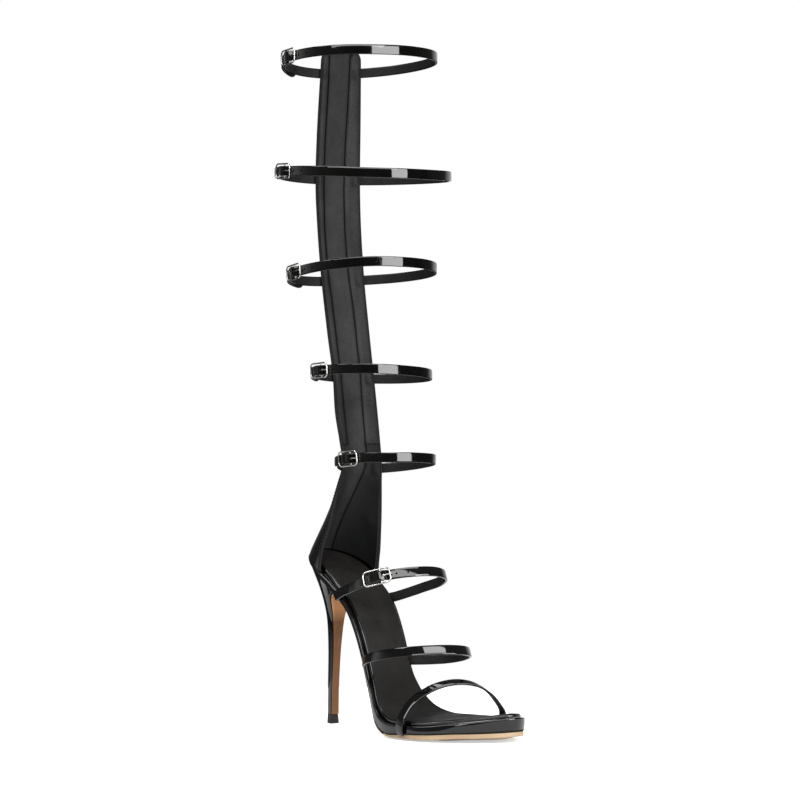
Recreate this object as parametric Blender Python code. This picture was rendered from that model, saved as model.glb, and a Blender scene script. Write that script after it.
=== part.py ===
"""Knee-high strappy sandal with a stiletto heel, made for the right foot.

World frame: metres, +X from heel to toe, +Y to the inner side of the foot, +Z up.
The origin is the middle of the heel tip, on the floor.
Lengths in the constants and tables are millimetres and angles are degrees.
"""

import math

import bmesh
import bpy
import numpy as np
from mathutils import Matrix, Vector

MM = 0.001
NAME = "knee_high_sandal"

# Clearance between pieces that touch
GAP = 0.3

# Meshing: points closer than these are one, and edges sharper than this angle stay sharp
MERGE_DISTANCE = 0.02
WIRE_MERGE_DISTANCE = 0.001
SMOOTH_ANGLE = 35.0

# Sole layers, measured at right angles to the foot bed
INSOLE_THICKNESS = 2.7
INSOLE_INSET = 2.8
INSOLE_SEAT_INSET = 4.8
SEAT_INSET_START = 18.0
SEAT_INSET_END = 34.0
# Thickness of the platform along the foot: x, thickness
PLATFORM_PROFILE = (
    (-24.0, 2.7),
    (62.0, 2.7),
    (76.0, 4.2),
    (88.0, 6.7),
    (97.0, 8.0),
    (106.0, 8.1),
    (117.0, 7.1),
    (128.0, 6.3),
    (139.0, 5.9),
    (150.0, 6.4),
    (160.0, 7.1),
    (171.0, 8.2),
    (181.0, 9.3),
    (188.0, 9.9),
)
# Thickness of the outsole's rim along the foot
OUTSOLE_PROFILE = (
    (-24.0, 1.7),
    (96.0, 1.6),
    (106.0, 1.3),
    (117.0, 2.3),
    (128.0, 3.1),
    (143.0, 3.4),
    (181.0, 3.2),
    (188.0, 3.0),
)
# How far the tread's middle hangs below its rim
TREAD_BELLY = 1.5
BELLY_START = 62.0
BELLY_END = 96.0
OUTSOLE_INSET = 0.9

# Foot bed height along the foot: x, z of the insole's top, slope
FOOT_BED = (
    (-18.0, 129.2, -0.16),
    (5.0, 121.9, -0.44),
    (30.0, 107.4, -0.76),
    (50.0, 89.3, -1.37),
    (65.0, 62.6, -2.17),
    (80.0, 32.6, -1.52),
    (95.0, 17.9, -0.46),
    (110.0, 14.2, 0.0),
    (134.0, 14.2, 0.0),
    (160.0, 17.1, 0.13),
    (190.0, 22.1, 0.19),
)
# How far the seat goes on behind the first row
BED_OVERHANG = 6.0

# How far the back of the heel and leg is drawn in from a plain ellipse
BACK_SHARPNESS = 0.12

# Sole outline: the seat is half an oval, then a row for each pair of edge points
SEAT_CENTRE = 14.0
SEAT_LENGTH = 32.0
SEAT_HALF_WIDTH = 24.5
SEAT_ANGLES = (0.0, 32.0, 62.0, 90.0)
TOE_TIP = (186.5, 14.5)
SOLE_EDGES = (
    # x outer, y outer, x inner, y inner
    (28.0, -23.8, 28.0, 24.0),
    (43.0, -22.6, 43.0, 23.0),
    (58.0, -22.4, 58.0, 21.0),
    (72.0, -24.0, 72.0, 19.4),
    (87.0, -30.0, 88.0, 25.2),
    (105.0, -34.2, 108.0, 34.2),
    (125.0, -34.0, 130.0, 41.0),
    (143.0, -28.8, 149.0, 43.0),
    (158.0, -20.0, 165.5, 40.0),
    (171.0, -8.5, 178.0, 32.5),
    (181.0, 4.0, 185.0, 24.0),
)
OUTLINE_STEPS = 3
CROSS_STEPS = 3

# Heel: height, back x, breast x, half width, share of the seat's tilt
HEEL_SECTIONS = (
    (7.0, -4.4, 2.6, 3.4, 0.0),
    (30.0, -4.2, 3.3, 3.3, 0.0),
    (55.0, -3.6, 5.2, 3.8, 0.0),
    (76.0, -4.0, 6.9, 5.6, 0.02),
    (89.0, -6.2, 8.3, 8.6, 0.12),
    (98.5, -9.6, 9.7, 12.4, 0.35),
    (105.3, -13.2, 11.2, 16.8, 0.7),
    (110.7, -15.9, 12.5, 20.8, 1.0),
)
HEEL_BACK_STEPS = 12
HEEL_BACK_ROUNDNESS = 0.85
BREAST_THICKNESS = 0.9
BREAST_SHARE = 0.94
LIFT_HEIGHT = 6.7
LIFT_FLARE = 0.35

# Leg surface, the outside of the upper: height at SEAT_CENTRE, centre x and y, half depth,
# half width, share of the seat's tilt, then the upper's outer and inner front edges as
# angles from the back
LEG_SECTIONS = (
    (114.6, 14.0, 0.0, 31.7, 24.2, 1.0, 93.0, -113.0),
    (123.0, 18.0, 0.4, 32.2, 24.2, 0.9, 85.0, -103.0),
    (135.0, 23.9, 1.2, 32.9, 24.0, 0.7, 76.5, -94.0),
    (149.0, 31.2, 2.4, 34.0, 23.8, 0.45, 69.5, -82.5),
    (164.0, 39.8, 4.2, 36.2, 24.8, 0.2, 58.0, -68.3),
    (178.0, 46.4, 6.4, 38.2, 26.6, 0.05, 42.0, -56.2),
    (192.0, 50.1, 8.3, 38.8, 29.8, 0.0, 27.0, -46.8),
    (209.0, 49.4, 7.4, 40.2, 34.2, 0.0, 17.5, -43.8),
    (230.0, 46.2, 5.2, 41.0, 38.6, 0.0, 11.5, -43.8),
    (258.0, 41.3, 2.7, 41.5, 41.3, 0.0, 5.0, -45.4),
    (292.0, 36.3, 0.0, 45.8, 46.2, 0.0, -2.0, -46.8),
    (330.0, 33.9, -1.6, 51.6, 51.6, 0.0, -5.0, -45.4),
    (367.0, 35.0, -2.1, 57.8, 57.8, 0.0, -5.4, -42.3),
    (402.0, 36.1, -2.3, 61.7, 61.7, 0.0, -5.6, -40.9),
    (442.0, 35.1, -2.4, 59.4, 59.4, 0.0, -6.4, -42.0),
    (484.0, 33.0, -2.4, 54.6, 54.6, 0.0, -8.0, -43.8),
    (502.0, 32.6, -2.4, 52.8, 52.8, 0.0, -8.4, -44.2),
)
WALL = 2.2
UPPER_TOP = 502.0
UPPER_CORNER = 9.0
# Share of the half width that gives the panel's front edges their arc length
UPPER_ARC_SHARE = 0.9
CORNER_ANGLES = (0.0, 30.0, 60.0, 90.0)
UPPER_COLUMNS = 14

# Angle of the panel's middle from the back
PANEL_ANGLE = -22.0

# Straps
STRAP_WIDTH = 7.2
STRAP_THICKNESS = 1.6
ROOT_STAND_OFF = 0.8
TAIL_POINT = 6.0
TAIL_TIP_SHARE = 0.25
ROOT_CLEARANCE = 4.6
# Distance between the sections of each kind of strap
SHORT_STRAP_STEP = 4.2
LONG_STRAP_STEP = 8.0
PLAIN_STRAP_STEP = 5.0
SHAFT_STRAPS = (
    # name, heights at the panel, outer side, front and inner side, buckle angle, tail angle,
    # droop of the tail
    ("strap_1", 483.6, 486.8, 489.8, 488.8, 80.0, 18.0, 2.6),
    ("strap_2", 404.4, 404.8, 400.8, 403.4, 82.0, 44.0, 0.0),
    ("strap_3", 328.2, 330.5, 338.4, 333.7, 82.0, 15.0, 2.4),
    ("strap_4", 255.6, 259.9, 261.6, 256.5, 88.0, 24.0, 1.6),
    ("strap_5", 188.6, 195.4, 198.0, 193.9, 93.0, 50.0, 0.0),
)
# Sandal straps: x, y, z of the inner face along each, from the outer to the inner side
INSTEP_PATH = (
    (46.0, -26.2, 100.4),
    (61.0, -29.6, 104.2),
    (80.0, -31.2, 110.0),
    (95.0, -23.6, 114.6),
    (105.5, -9.0, 116.8),
    (108.4, 7.0, 116.4),
    (101.5, 22.0, 113.0),
    (86.0, 30.4, 107.8),
    (69.0, 29.8, 103.0),
    (56.0, 26.6, 98.8),
)
INSTEP_ROOTS = ((36.0, 97.0), (44.0, 95.2))
INSTEP_LEAN = (-0.34, 0.0, 0.94)
INSTEP_BUCKLE = 57.0
INSTEP_TAIL = 41.0
MIDFOOT_PATH = (
    (80.0, -29.5, 54.7),
    (96.0, -31.5, 58.0),
    (112.0, -27.5, 60.9),
    (125.0, -19.5, 62.5),
    (133.5, -8.0, 63.1),
    (137.0, 5.0, 62.5),
    (134.0, 16.0, 60.9),
    (125.0, 25.5, 58.5),
    (110.0, 31.5, 55.2),
    (94.0, 31.5, 52.5),
    (80.0, 26.5, 51.1),
)
MIDFOOT_ROOTS = ((69.0, 51.7), (68.0, 50.4))
MIDFOOT_LEAN = (-0.4, 0.0, 0.92)
TOE_PATH = (
    (123.0, -35.3, 12.0),
    (123.6, -33.6, 17.2),
    (125.6, -27.8, 26.0),
    (129.3, -18.4, 33.2),
    (133.5, -7.2, 37.9),
    (137.4, 5.9, 39.5),
    (140.2, 19.4, 36.9),
    (141.9, 30.1, 30.6),
    (142.6, 37.8, 22.6),
    (142.9, 41.1, 17.6),
)
TOE_ROOTS = ((122.6, 7.4), (143.0, 13.4))
TOE_LEAN = (-0.93, 0.0, 0.36)
TOE_STRAP_WIDTH = 7.0
TOE_ROOT_INSET = 2.3

# Buckle: a flat wire frame with a bar across it and a prong
FRAME_LENGTH = 21.4
FRAME_WIDTH = 11.6
FRAME_CORNER = 3.0
FRAME_WIRE = 0.65
FRAME_TILT = -6.0
FRAME_HEIGHT = 3.75
# Length of strap past each end of the frame before it lies at rest again
FRAME_CLEARANCE = 3.0
BAR_PLACE = 3.0
BAR_WIRE = 0.55
FOLD_RADIUS = 1.45
FOLD_BORE = 0.75
SHORT_THICKNESS = 1.4
PRONG_WIRE = 0.45
PRONG_EYE = 1.25
PRONG_EYE_ANGLES = (20.0, -20.0, -60.0, -100.0, -140.0, -180.0, -220.0, -260.0)
# Prong past its eye: how far out and up it leaves, overhang past the frame's end, length of
# its flat tip and clearance over the wire
PRONG_NECK = (3.0, 0.1)
PRONG_OVERHANG = 0.6
PRONG_TIP = 1.2
PRONG_CLEARANCE = 0.15
PRONG_TIP_DROP = 0.05
# Cuts for the prong in the short and the long strap, how far each lies past the bar and above
SLOT_SIZE = (5.2, 2.2, 4.4)
SLOT_SHIFT = (0.5, 0.35)
HOLE_SIZE = (6.8, 2.2, 8.0)
HOLE_SHIFT = (2.9, 1.0)
BORE_OVERSHOOT = 2.0
# Height of the long strap's inner face: place along the strap from the buckle's middle, height
LONG_STRAP_RIDE = (
    (-400.0, 2.3),
    (-9.0, 2.3),
    (-2.5, 4.2),
    (2.8, 5.3),
    (8.6, 0.6),
    (400.0, 0.6),
)
# The same for the short strap, measured from the bar it is folded round
SHORT_STRAP_RIDE = (
    (-400.0, 0.6),
    (-7.0, 0.6),
    (0.0, 2.7),
    (400.0, 2.7),
)

# Back zip: closed, on the outside of the upper
ZIP_ANGLE = -23.0
ZIP_WIDTH = 5.0
ZIP_THICKNESS = 1.0
ZIP_LOW = 136.0
ZIP_HIGH = 497.0
ZIP_STEP = 9.0
SLIDER_HEIGHT = 492.0
SLIDER_SIZE = (9.0, 6.6, 2.4)
PIN_WIRE = 0.6
PIN_LENGTH = 6.4
PIN_STAND_OFF = 6.1
# How far the pin's ends lie inside the faces of its lugs
PIN_RECESS = 0.2
LUG_SIZE = (2.6, 1.0, 4.2)
LUG_DROP = 0.8
BARREL_RADIUS = 1.6
BARREL_BORE = 0.95
BARREL_LENGTH = 4.0
PULL_LENGTH = 35.0
PULL_WIDTH = 8.0
PULL_THICKNESS = 1.8
PULL_START = 5.4
NECK_LENGTH = 6.6
NECK_THICKNESS = 1.4
NECK_SHIFT = 3.9
BARREL_BORE_OVERSHOOT = 1.0

# Colours: red, green, blue, metallic, roughness
FINISHES = {
    "patent_black": (0.006, 0.006, 0.007, 0.0, 0.08),
    "insole_black": (0.018, 0.016, 0.016, 0.0, 0.5),
    "sole_leather": (0.62, 0.42, 0.26, 0.0, 0.45),
    "breast_leather": (0.5, 0.22, 0.1, 0.0, 0.35),
    "silver_metal": (0.72, 0.72, 0.7, 1.0, 0.2),
    "tip_rubber": (0.012, 0.012, 0.012, 0.0, 0.55),
    "zip_black": (0.02, 0.02, 0.022, 0.0, 0.35),
}


def clear_scene():
    for item in list(bpy.data.objects):
        bpy.data.objects.remove(item, do_unlink=True)


def new_collection(name):
    group = bpy.data.collections.new(name)
    bpy.context.scene.collection.children.link(group)
    return group


def make_material(name):
    red, green, blue, metallic, roughness = FINISHES[name]
    material = bpy.data.materials.new(name)
    material.use_nodes = True
    shader = material.node_tree.nodes["Principled BSDF"]
    shader.inputs["Base Color"].default_value = (red, green, blue, 1.0)
    shader.inputs["Metallic"].default_value = metallic
    shader.inputs["Roughness"].default_value = roughness
    return material


def finish(item, group, material, round_shading=True):
    """Put a mesh object in its collection with its own material and shading."""
    for owner in list(item.users_collection):
        owner.objects.unlink(item)
    group.objects.link(item)
    item.data.materials.clear()
    item.data.materials.append(material)
    if round_shading:
        item.data.shade_smooth()
        item.data.set_sharp_from_angle(angle=math.radians(SMOOTH_ANGLE))
    return item


def mesh_object(name, vertices, faces):
    """Closed mesh object from millimetre points; faces are turned to point out."""
    mesh = bpy.data.meshes.new(name)
    mesh.from_pydata([Vector(point) * MM for point in vertices], [], faces)
    shape = bmesh.new()
    shape.from_mesh(mesh)
    bmesh.ops.remove_doubles(shape, verts=shape.verts, dist=MERGE_DISTANCE * MM)
    bmesh.ops.recalc_face_normals(shape, faces=shape.faces)
    shape.to_mesh(mesh)
    shape.free()
    item = bpy.data.objects.new(name, mesh)
    bpy.context.scene.collection.objects.link(item)
    return item


def loft(name, rings):
    """Closed solid through rings of equal length, with a flat cap on each end."""
    rings = np.asarray(rings, dtype=float)
    count, size = rings.shape[0], rings.shape[1]
    faces = []
    for i in range(count - 1):
        for j in range(size):
            k = (j + 1) % size
            faces.append((i * size + j, i * size + k, (i + 1) * size + k, (i + 1) * size + j))
    faces.append(tuple(range(size)))
    faces.append(tuple(range((count - 1) * size, count * size)))
    return mesh_object(name, rings.reshape(-1, 3), faces)


def boolean(item, tool, operation, cutters):
    """Join or cut item with tool, which stays hidden among the cutters."""
    finish(tool, cutters, item.data.materials[0] if item.data.materials else None)
    tool.hide_render = True
    tool.display_type = "WIRE"
    step = item.modifiers.new(operation.lower(), "BOOLEAN")
    step.operation = operation
    step.solver = "EXACT"
    step.object = tool


def smooth_rows(rows, steps, closed=False):
    """Catmull-Rom curve through the rows, with steps samples to each span."""
    rows = np.asarray(rows, dtype=float)
    count = len(rows)
    spans = count if closed else count - 1
    out = []
    for i in range(spans):
        if closed:
            p0, p1, p2, p3 = (rows[(i + k) % count] for k in (-1, 0, 1, 2))
        else:
            p1, p2 = rows[i], rows[i + 1]
            p0 = rows[i - 1] if i else 2 * p1 - p2
            p3 = rows[i + 2] if i + 2 < count else 2 * p2 - p1
        for k in range(steps):
            t = k / steps
            out.append(
                0.5
                * (
                    2 * p1
                    + (p2 - p0) * t
                    + (2 * p0 - 5 * p1 + 4 * p2 - p3) * t * t
                    + (3 * p1 - p0 - 3 * p2 + p3) * t**3
                )
            )
    if not closed:
        out.append(rows[-1])
    return np.array(out)


def unit(vectors):
    vectors = np.asarray(vectors, dtype=float)
    return vectors / np.linalg.norm(vectors, axis=-1, keepdims=True)


# ---------------------------------------------------------------- sole


def bed_height(x):
    """Height and slope of the insole's top at x, by cubic pieces between the rows."""
    rows = FOOT_BED
    x = min(max(x, rows[0][0] - BED_OVERHANG), rows[-1][0])
    i = 0
    while i < len(rows) - 2 and x > rows[i + 1][0]:
        i += 1
    (x0, z0, m0), (x1, z1, m1) = rows[i], rows[i + 1]
    h = x1 - x0
    t = (x - x0) / h
    if t < 0.0:
        return z0 + m0 * (x - x0), m0
    height = (
        z0 * (2 * t**3 - 3 * t**2 + 1)
        + h * m0 * (t**3 - 2 * t**2 + t)
        + z1 * (3 * t**2 - 2 * t**3)
        + h * m1 * (t**3 - t**2)
    )
    slope = (
        (z1 - z0) / h * (6 * t - 6 * t**2)
        + m0 * (3 * t**2 - 4 * t + 1)
        + m1 * (3 * t**2 - 2 * t)
    )
    return height, slope


def layer_height(x, depth):
    """Height of a layer that lies depth under the insole's top, measured square to it."""
    height, slope = bed_height(x)
    return height - depth * math.hypot(1.0, slope)


def ease(x, start, end):
    """0 before start, 1 after end and a smooth step between."""
    t = min(max((x - start) / (end - start), 0.0), 1.0)
    return t * t * (3.0 - 2.0 * t)


def insole_inset(x):
    share = ease(x, SEAT_INSET_START, SEAT_INSET_END)
    return INSOLE_SEAT_INSET + share * (INSOLE_INSET - INSOLE_SEAT_INSET)


def platform_top(x):
    return INSOLE_THICKNESS + GAP


def platform_bottom(x):
    return platform_top(x) + float(np.interp(x, *np.array(PLATFORM_PROFILE).T))


def outsole_top(x):
    return platform_bottom(x) + GAP


def outsole_bottom(x):
    return outsole_top(x) + float(np.interp(x, *np.array(OUTSOLE_PROFILE).T))


def sole_edges(inset, steps=OUTLINE_STEPS):
    """Outer and inner edge of the outline, from the heel to the toe tip, row by row."""
    outer = []
    inner = []
    for angle in SEAT_ANGLES:
        cosine = math.cos(math.radians(angle))
        x = SEAT_CENTRE - SEAT_LENGTH * cosine
        y = SEAT_HALF_WIDTH * math.sin(math.radians(angle)) * (1.0 - BACK_SHARPNESS * cosine)
        outer.append((x, -y))
        inner.append((x, y))
    for x_outer, y_outer, x_inner, y_inner in SOLE_EDGES:
        outer.append((x_outer, y_outer))
        inner.append((x_inner, y_inner))
    loop = outer + [TOE_TIP] + inner[:0:-1]
    curve = smooth_rows(loop, steps, closed=True)
    forward = np.roll(curve, -1, axis=0) - np.roll(curve, 1, axis=0)
    inward = unit(np.stack([-forward[:, 1], forward[:, 0]], axis=1))
    insets = np.array([inset(x) for x in curve[:, 0]])
    curve = curve + insets[:, None] * inward
    half = len(curve) // 2
    return curve[: half + 1], np.vstack([curve[:1], curve[: half - 1 : -1]])


def edge_y(x, side, inset):
    """y of the sole's edge at x, on the outer (-1) or inner (+1) side."""
    outer, inner = sole_edges(flat(inset))
    edge = outer if side < 0 else inner
    return float(np.interp(x, edge[:, 0], edge[:, 1]))


def sole_layer(name, inset, top, bottom, first_row=0, belly=0.0):
    """One layer of the sole between two depths under the foot bed.

    belly is how far the middle of its underside hangs below the rim at the forefoot.
    """
    outer, inner = sole_edges(inset)
    rings = []
    for start, end in zip(outer[first_row:], inner[first_row:]):
        shares = np.linspace(0.0, 1.0, CROSS_STEPS + 1)
        across = [start + share * (end - start) for share in shares]
        upper = [(x, y, layer_height(x, top(x))) for x, y in across]
        sags = [0.0 if share in (0.0, 1.0) else belly for share in shares]
        lower = [
            (x, y, layer_height(x, bottom(x) + sag * ease(x, BELLY_START, BELLY_END)))
            for (x, y), sag in zip(reversed(across), sags)
        ]
        rings.append(upper + lower)
    return loft(name, rings)


# ---------------------------------------------------------------- heel


def seat_rise(x):
    """Height of the platform's top at x above its height at the seat's centre."""
    depth = platform_top(x)
    return layer_height(x, depth) - layer_height(SEAT_CENTRE, depth)


def heel_ring(row):
    height, back, breast, half_width, tilt = row
    reach = breast - back
    ring = []
    for i in range(HEEL_BACK_STEPS + 1):
        angle = math.pi * i / HEEL_BACK_STEPS
        x = breast - reach * math.sin(angle) ** HEEL_BACK_ROUNDNESS
        ring.append((x, half_width * math.cos(angle)))
    return [(x, y, height + tilt * seat_rise(x)) for x, y in ring]


def heel_rows(steps):
    return smooth_rows(HEEL_SECTIONS, steps)


def make_heel():
    return loft("heel", [heel_ring(row) for row in heel_rows(2)])


def make_breast_cover():
    rings = []
    for height, _, breast, half_width, tilt in heel_rows(2):
        half = half_width * BREAST_SHARE
        inside = breast + GAP
        outside = inside + BREAST_THICKNESS
        corners = ((inside, -half), (outside, -half), (outside, half), (inside, half))
        rings.append([(x, y, height + tilt * seat_rise(x)) for x, y in corners])
    return loft("heel_breast_cover", rings)


def make_top_lift():
    row = HEEL_SECTIONS[0]
    rings = []
    for height, flare in ((LIFT_HEIGHT, 0.0), (0.0, LIFT_FLARE)):
        wide = (height, row[1] - flare, row[2] + flare, row[3] + flare, 0.0)
        rings.append(heel_ring(wide))
    return loft("top_lift", rings)


# ---------------------------------------------------------------- leg surface and upper


LEG = smooth_rows(LEG_SECTIONS, 8)


def leg_row(height):
    """Leg section at a height, read along the smoothed table."""
    return np.array([np.interp(height, LEG[:, 0], LEG[:, i]) for i in range(LEG.shape[1])])


def leg_point(height, angle, stand_off=0.0):
    """Point on the leg surface, or outside it; the angle runs from the back to the outer side."""
    _, x, y, depth, width, tilt, _, _ = leg_row(height)
    cosine = math.cos(math.radians(angle))
    sine = math.sin(math.radians(angle))
    px = x - (depth + stand_off) * cosine
    py = y - (width + stand_off) * sine * (1.0 - BACK_SHARPNESS * cosine)
    return np.array([px, py, height + tilt * seat_rise(px)])


def leg_frame(height, angle):
    """Point, outward normal and upward direction on the leg surface."""
    point = leg_point(height, angle)
    around = leg_point(height, angle + 0.5) - leg_point(height, angle - 0.5)
    up = unit(leg_point(height + 2.0, angle) - leg_point(height - 2.0, angle))
    normal = unit(np.cross(around, up))
    return point, normal, up


def upper_span(height):
    """Front edge angles of the upper at a height, drawn in round its top corners."""
    row = leg_row(height)
    outer, inner = row[6], row[7]
    above = height - (UPPER_TOP - UPPER_CORNER)
    if above > 0.0:
        cut = UPPER_CORNER - math.sqrt(max(UPPER_CORNER**2 - above**2, 0.0))
        degrees = math.degrees(cut / (UPPER_ARC_SHARE * row[4]))
        outer -= degrees
        inner += degrees
    return outer, inner


def upper_levels():
    """Heights of the upper's sections; the last ones follow its round top corners."""
    levels = [row[0] for row in smooth_rows(LEG_SECTIONS, 2)]
    start = UPPER_TOP - UPPER_CORNER
    corner = [start + UPPER_CORNER * math.sin(math.radians(a)) for a in CORNER_ANGLES]
    return [level for level in levels if level < start - 2.0] + corner


def make_upper():
    """Hollow panel behind the leg and heel: a wall that is open in front and at the top."""
    rings = []
    for level in upper_levels():
        outer, inner = upper_span(level)
        angles = np.linspace(inner, outer, UPPER_COLUMNS + 1)
        outside = [leg_point(level, angle) for angle in angles]
        inside = [leg_point(level, angle, -WALL) for angle in reversed(angles)]
        rings.append(outside + inside)
    return loft("upper", rings)


# ---------------------------------------------------------------- straps


BAND_ANGLES = np.arange(-44.0, 345.0, 4.0)


class Band:
    """A line on the foot or leg that a strap follows, with its normals and width directions."""

    def __init__(self, points, normals, widths):
        self.points = np.asarray(points)
        self.normals = np.asarray(normals)
        self.widths = np.asarray(widths)
        steps = np.linalg.norm(np.diff(self.points, axis=0), axis=1)
        self.places = np.concatenate([[0.0], np.cumsum(steps)])
        self.length = self.places[-1]

    def read(self, place, table):
        return np.array([np.interp(place, self.places, table[:, i]) for i in range(3)])

    def at(self, place):
        point = self.read(place, self.points)
        normal = unit(self.read(place, self.normals))
        width = unit(self.read(place, self.widths))
        return point, normal, width

    def to_world(self, place, height, side):
        point, normal, width = self.at(place)
        return point + height * normal + side * width

    def matrix(self, place):
        """Axes at a place: X along the band, Y across it, Z outward."""
        point, normal, width = self.at(place)
        along = unit(np.cross(width, normal))
        across = unit(np.cross(normal, along))
        axes = Matrix((along, across, normal)).transposed().to_4x4()
        axes.translation = Vector(point) * MM
        return axes


def sweep(name, band, start, end, height, thickness, width, spacing):
    """Strap solid along the band; height and width are functions of the place."""
    count = max(int(round(abs(end - start) / spacing)), 2)
    places = list(np.linspace(start, end, count + 1))
    rings = []
    for place in places:
        low = height(place)
        half = width(place) / 2.0
        rings.append(
            [
                band.to_world(place, low, -half),
                band.to_world(place, low, half),
                band.to_world(place, low + thickness, half),
                band.to_world(place, low + thickness, -half),
            ]
        )
    return loft(name, rings)


def strap_height(stations, angle):
    """Height of a shaft strap at an angle, through its heights at four stations."""
    panel, outer, front, inner = stations
    mean = (panel + outer + front + inner) / 4.0
    twist = (panel + front - outer - inner) / 4.0
    turn = math.radians(angle - PANEL_ANGLE)
    slope = (panel - front) / 2.0 * math.cos(turn) + (outer - inner) / 2.0 * math.sin(turn)
    return mean + slope + twist * math.cos(2.0 * turn)


def shaft_band(stations):
    points = []
    normals = []
    widths = []
    for angle in BAND_ANGLES:
        point, normal, up = leg_frame(strap_height(stations, angle), angle)
        points.append(point)
        normals.append(normal)
        widths.append(up)
    return Band(points, normals, widths)


def band_place(band, angle):
    """Place along a shaft band for an angle from the back."""
    return float(np.interp(angle, BAND_ANGLES, band.places))


def sandal_band(path, roots, lean, inner_inset):
    """Band from the outer sole edge over the foot to the inner sole edge."""
    (outer_x, outer_z), (inner_x, inner_z) = roots
    first = (outer_x, edge_y(outer_x, -1, 0.0) - ROOT_STAND_OFF, outer_z)
    last = (inner_x, edge_y(inner_x, 1, inner_inset) + ROOT_STAND_OFF, inner_z)
    points = smooth_rows([first] + list(path) + [last], 4)
    tangents = unit(np.gradient(points, axis=0))
    lean = np.asarray(lean)
    widths = unit(lean - tangents * (tangents @ lean)[:, None])
    normals = unit(np.cross(tangents, widths))
    return Band(points, normals, widths)


def tail_width(tip):
    """Width that comes to a rounded point at the tip of a strap."""

    def width(place):
        t = min(max((place - tip) / TAIL_POINT, 0.0), 1.0)
        return STRAP_WIDTH * (TAIL_TIP_SHARE + (1.0 - TAIL_TIP_SHARE) * math.sqrt(t * (2.0 - t)))

    return width


def ride_height(table, origin):
    """Height of a strap's inner face near the buckle, from a table measured from origin."""

    def height(place):
        offset = place - origin
        for (start, low), (end, high) in zip(table, table[1:]):
            if offset <= end:
                return low + (high - low) * ease(offset, start, end)
        return table[-1][1]

    return height


def long_strap(name, band, middle, tip, root, droop):
    """The strap that comes round from the far side, through the buckle, to its tip."""
    height = ride_height(LONG_STRAP_RIDE, middle)
    width = tail_width(tip)
    clear_of_frame = middle - FRAME_LENGTH / 2.0 - FRAME_CLEARANCE

    def drift(place):
        t = min(max((clear_of_frame - place) / max(clear_of_frame - tip, 1.0), 0.0), 1.0)
        return -droop * t * t

    fine_end = middle + FRAME_LENGTH / 2.0 + FRAME_CLEARANCE
    places = list(np.linspace(tip, tip + TAIL_POINT, 4))
    places += list(np.linspace(tip + TAIL_POINT, clear_of_frame, 6))[1:]
    places += list(np.linspace(clear_of_frame, fine_end, 15))[1:]
    places += list(np.linspace(fine_end, root, int((root - fine_end) / LONG_STRAP_STEP)))[1:]
    rings = []
    for place in places:
        low = height(place)
        half = width(place) / 2.0
        shift = drift(place)
        inner = [band.to_world(place, low, shift + side * half) for side in (-1, 1)]
        outer = [
            band.to_world(place, low + STRAP_THICKNESS, shift + side * half) for side in (1, -1)
        ]
        rings.append(inner + outer)
    return loft(name, rings)


def flat(value):
    return lambda place: value


# ---------------------------------------------------------------- buckles


def tube(name, points, radius, cyclic, resolution=1):
    """Wire mesh along a line of local points, made from a curve."""
    curve = bpy.data.curves.new(name, "CURVE")
    curve.dimensions = "3D"
    curve.bevel_depth = radius * MM
    curve.bevel_resolution = resolution
    curve.use_fill_caps = True
    line = curve.splines.new("POLY")
    line.points.add(len(points) - 1)
    for dot, point in zip(line.points, points):
        dot.co = (*(Vector(point) * MM), 1.0)
    line.use_cyclic_u = cyclic
    wire = bpy.data.objects.new(name + "_wire", curve)
    bpy.context.scene.collection.objects.link(wire)
    bpy.context.view_layer.update()
    graph = bpy.context.evaluated_depsgraph_get()
    mesh = bpy.data.meshes.new_from_object(wire.evaluated_get(graph))
    item = bpy.data.objects.new(name, mesh)
    item.matrix_world = wire.matrix_world
    bpy.context.scene.collection.objects.link(item)
    bpy.data.objects.remove(wire)
    shape = bmesh.new()
    shape.from_mesh(mesh)
    bmesh.ops.remove_doubles(shape, verts=shape.verts, dist=WIRE_MERGE_DISTANCE * MM)
    bmesh.ops.recalc_face_normals(shape, faces=shape.faces)
    shape.to_mesh(mesh)
    shape.free()
    return item


def cylinder(name, radius, length, sides, matrix):
    """Closed cylinder whose axis is local Y, placed by a matrix."""
    shape = bmesh.new()
    bmesh.ops.create_cone(
        shape,
        cap_ends=True,
        segments=sides,
        radius1=radius * MM,
        radius2=radius * MM,
        depth=length * MM,
        matrix=Matrix.Rotation(math.pi / 2.0, 4, "X"),
    )
    mesh = bpy.data.meshes.new(name)
    shape.to_mesh(mesh)
    shape.free()
    item = bpy.data.objects.new(name, mesh)
    item.matrix_world = matrix
    bpy.context.scene.collection.objects.link(item)
    return item


def box(name, size, matrix):
    shape = bmesh.new()
    scale = Matrix.Diagonal((*(Vector(size) * MM), 1.0))
    bmesh.ops.create_cube(shape, size=1.0, matrix=scale)
    mesh = bpy.data.meshes.new(name)
    shape.to_mesh(mesh)
    shape.free()
    item = bpy.data.objects.new(name, mesh)
    item.matrix_world = matrix
    bpy.context.scene.collection.objects.link(item)
    return item


def shifted(matrix, x=0.0, y=0.0, z=0.0):
    return matrix @ Matrix.Translation(Vector((x, y, z)) * MM)


def frame_outline():
    """Centre line of the buckle's frame: a rectangle with round corners."""
    half_x = FRAME_LENGTH / 2.0 - FRAME_WIRE - FRAME_CORNER
    half_y = FRAME_WIDTH / 2.0 - FRAME_WIRE - FRAME_CORNER
    line = []
    for corner, (sx, sy) in enumerate(((1, 1), (-1, 1), (-1, -1), (1, -1))):
        for k in range(4):
            angle = math.radians(90.0 * corner + 30.0 * k)
            x = sx * half_x + FRAME_CORNER * math.cos(angle)
            y = sy * half_y + FRAME_CORNER * math.sin(angle)
            line.append((x, y, 0.0))
    return line


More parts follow.
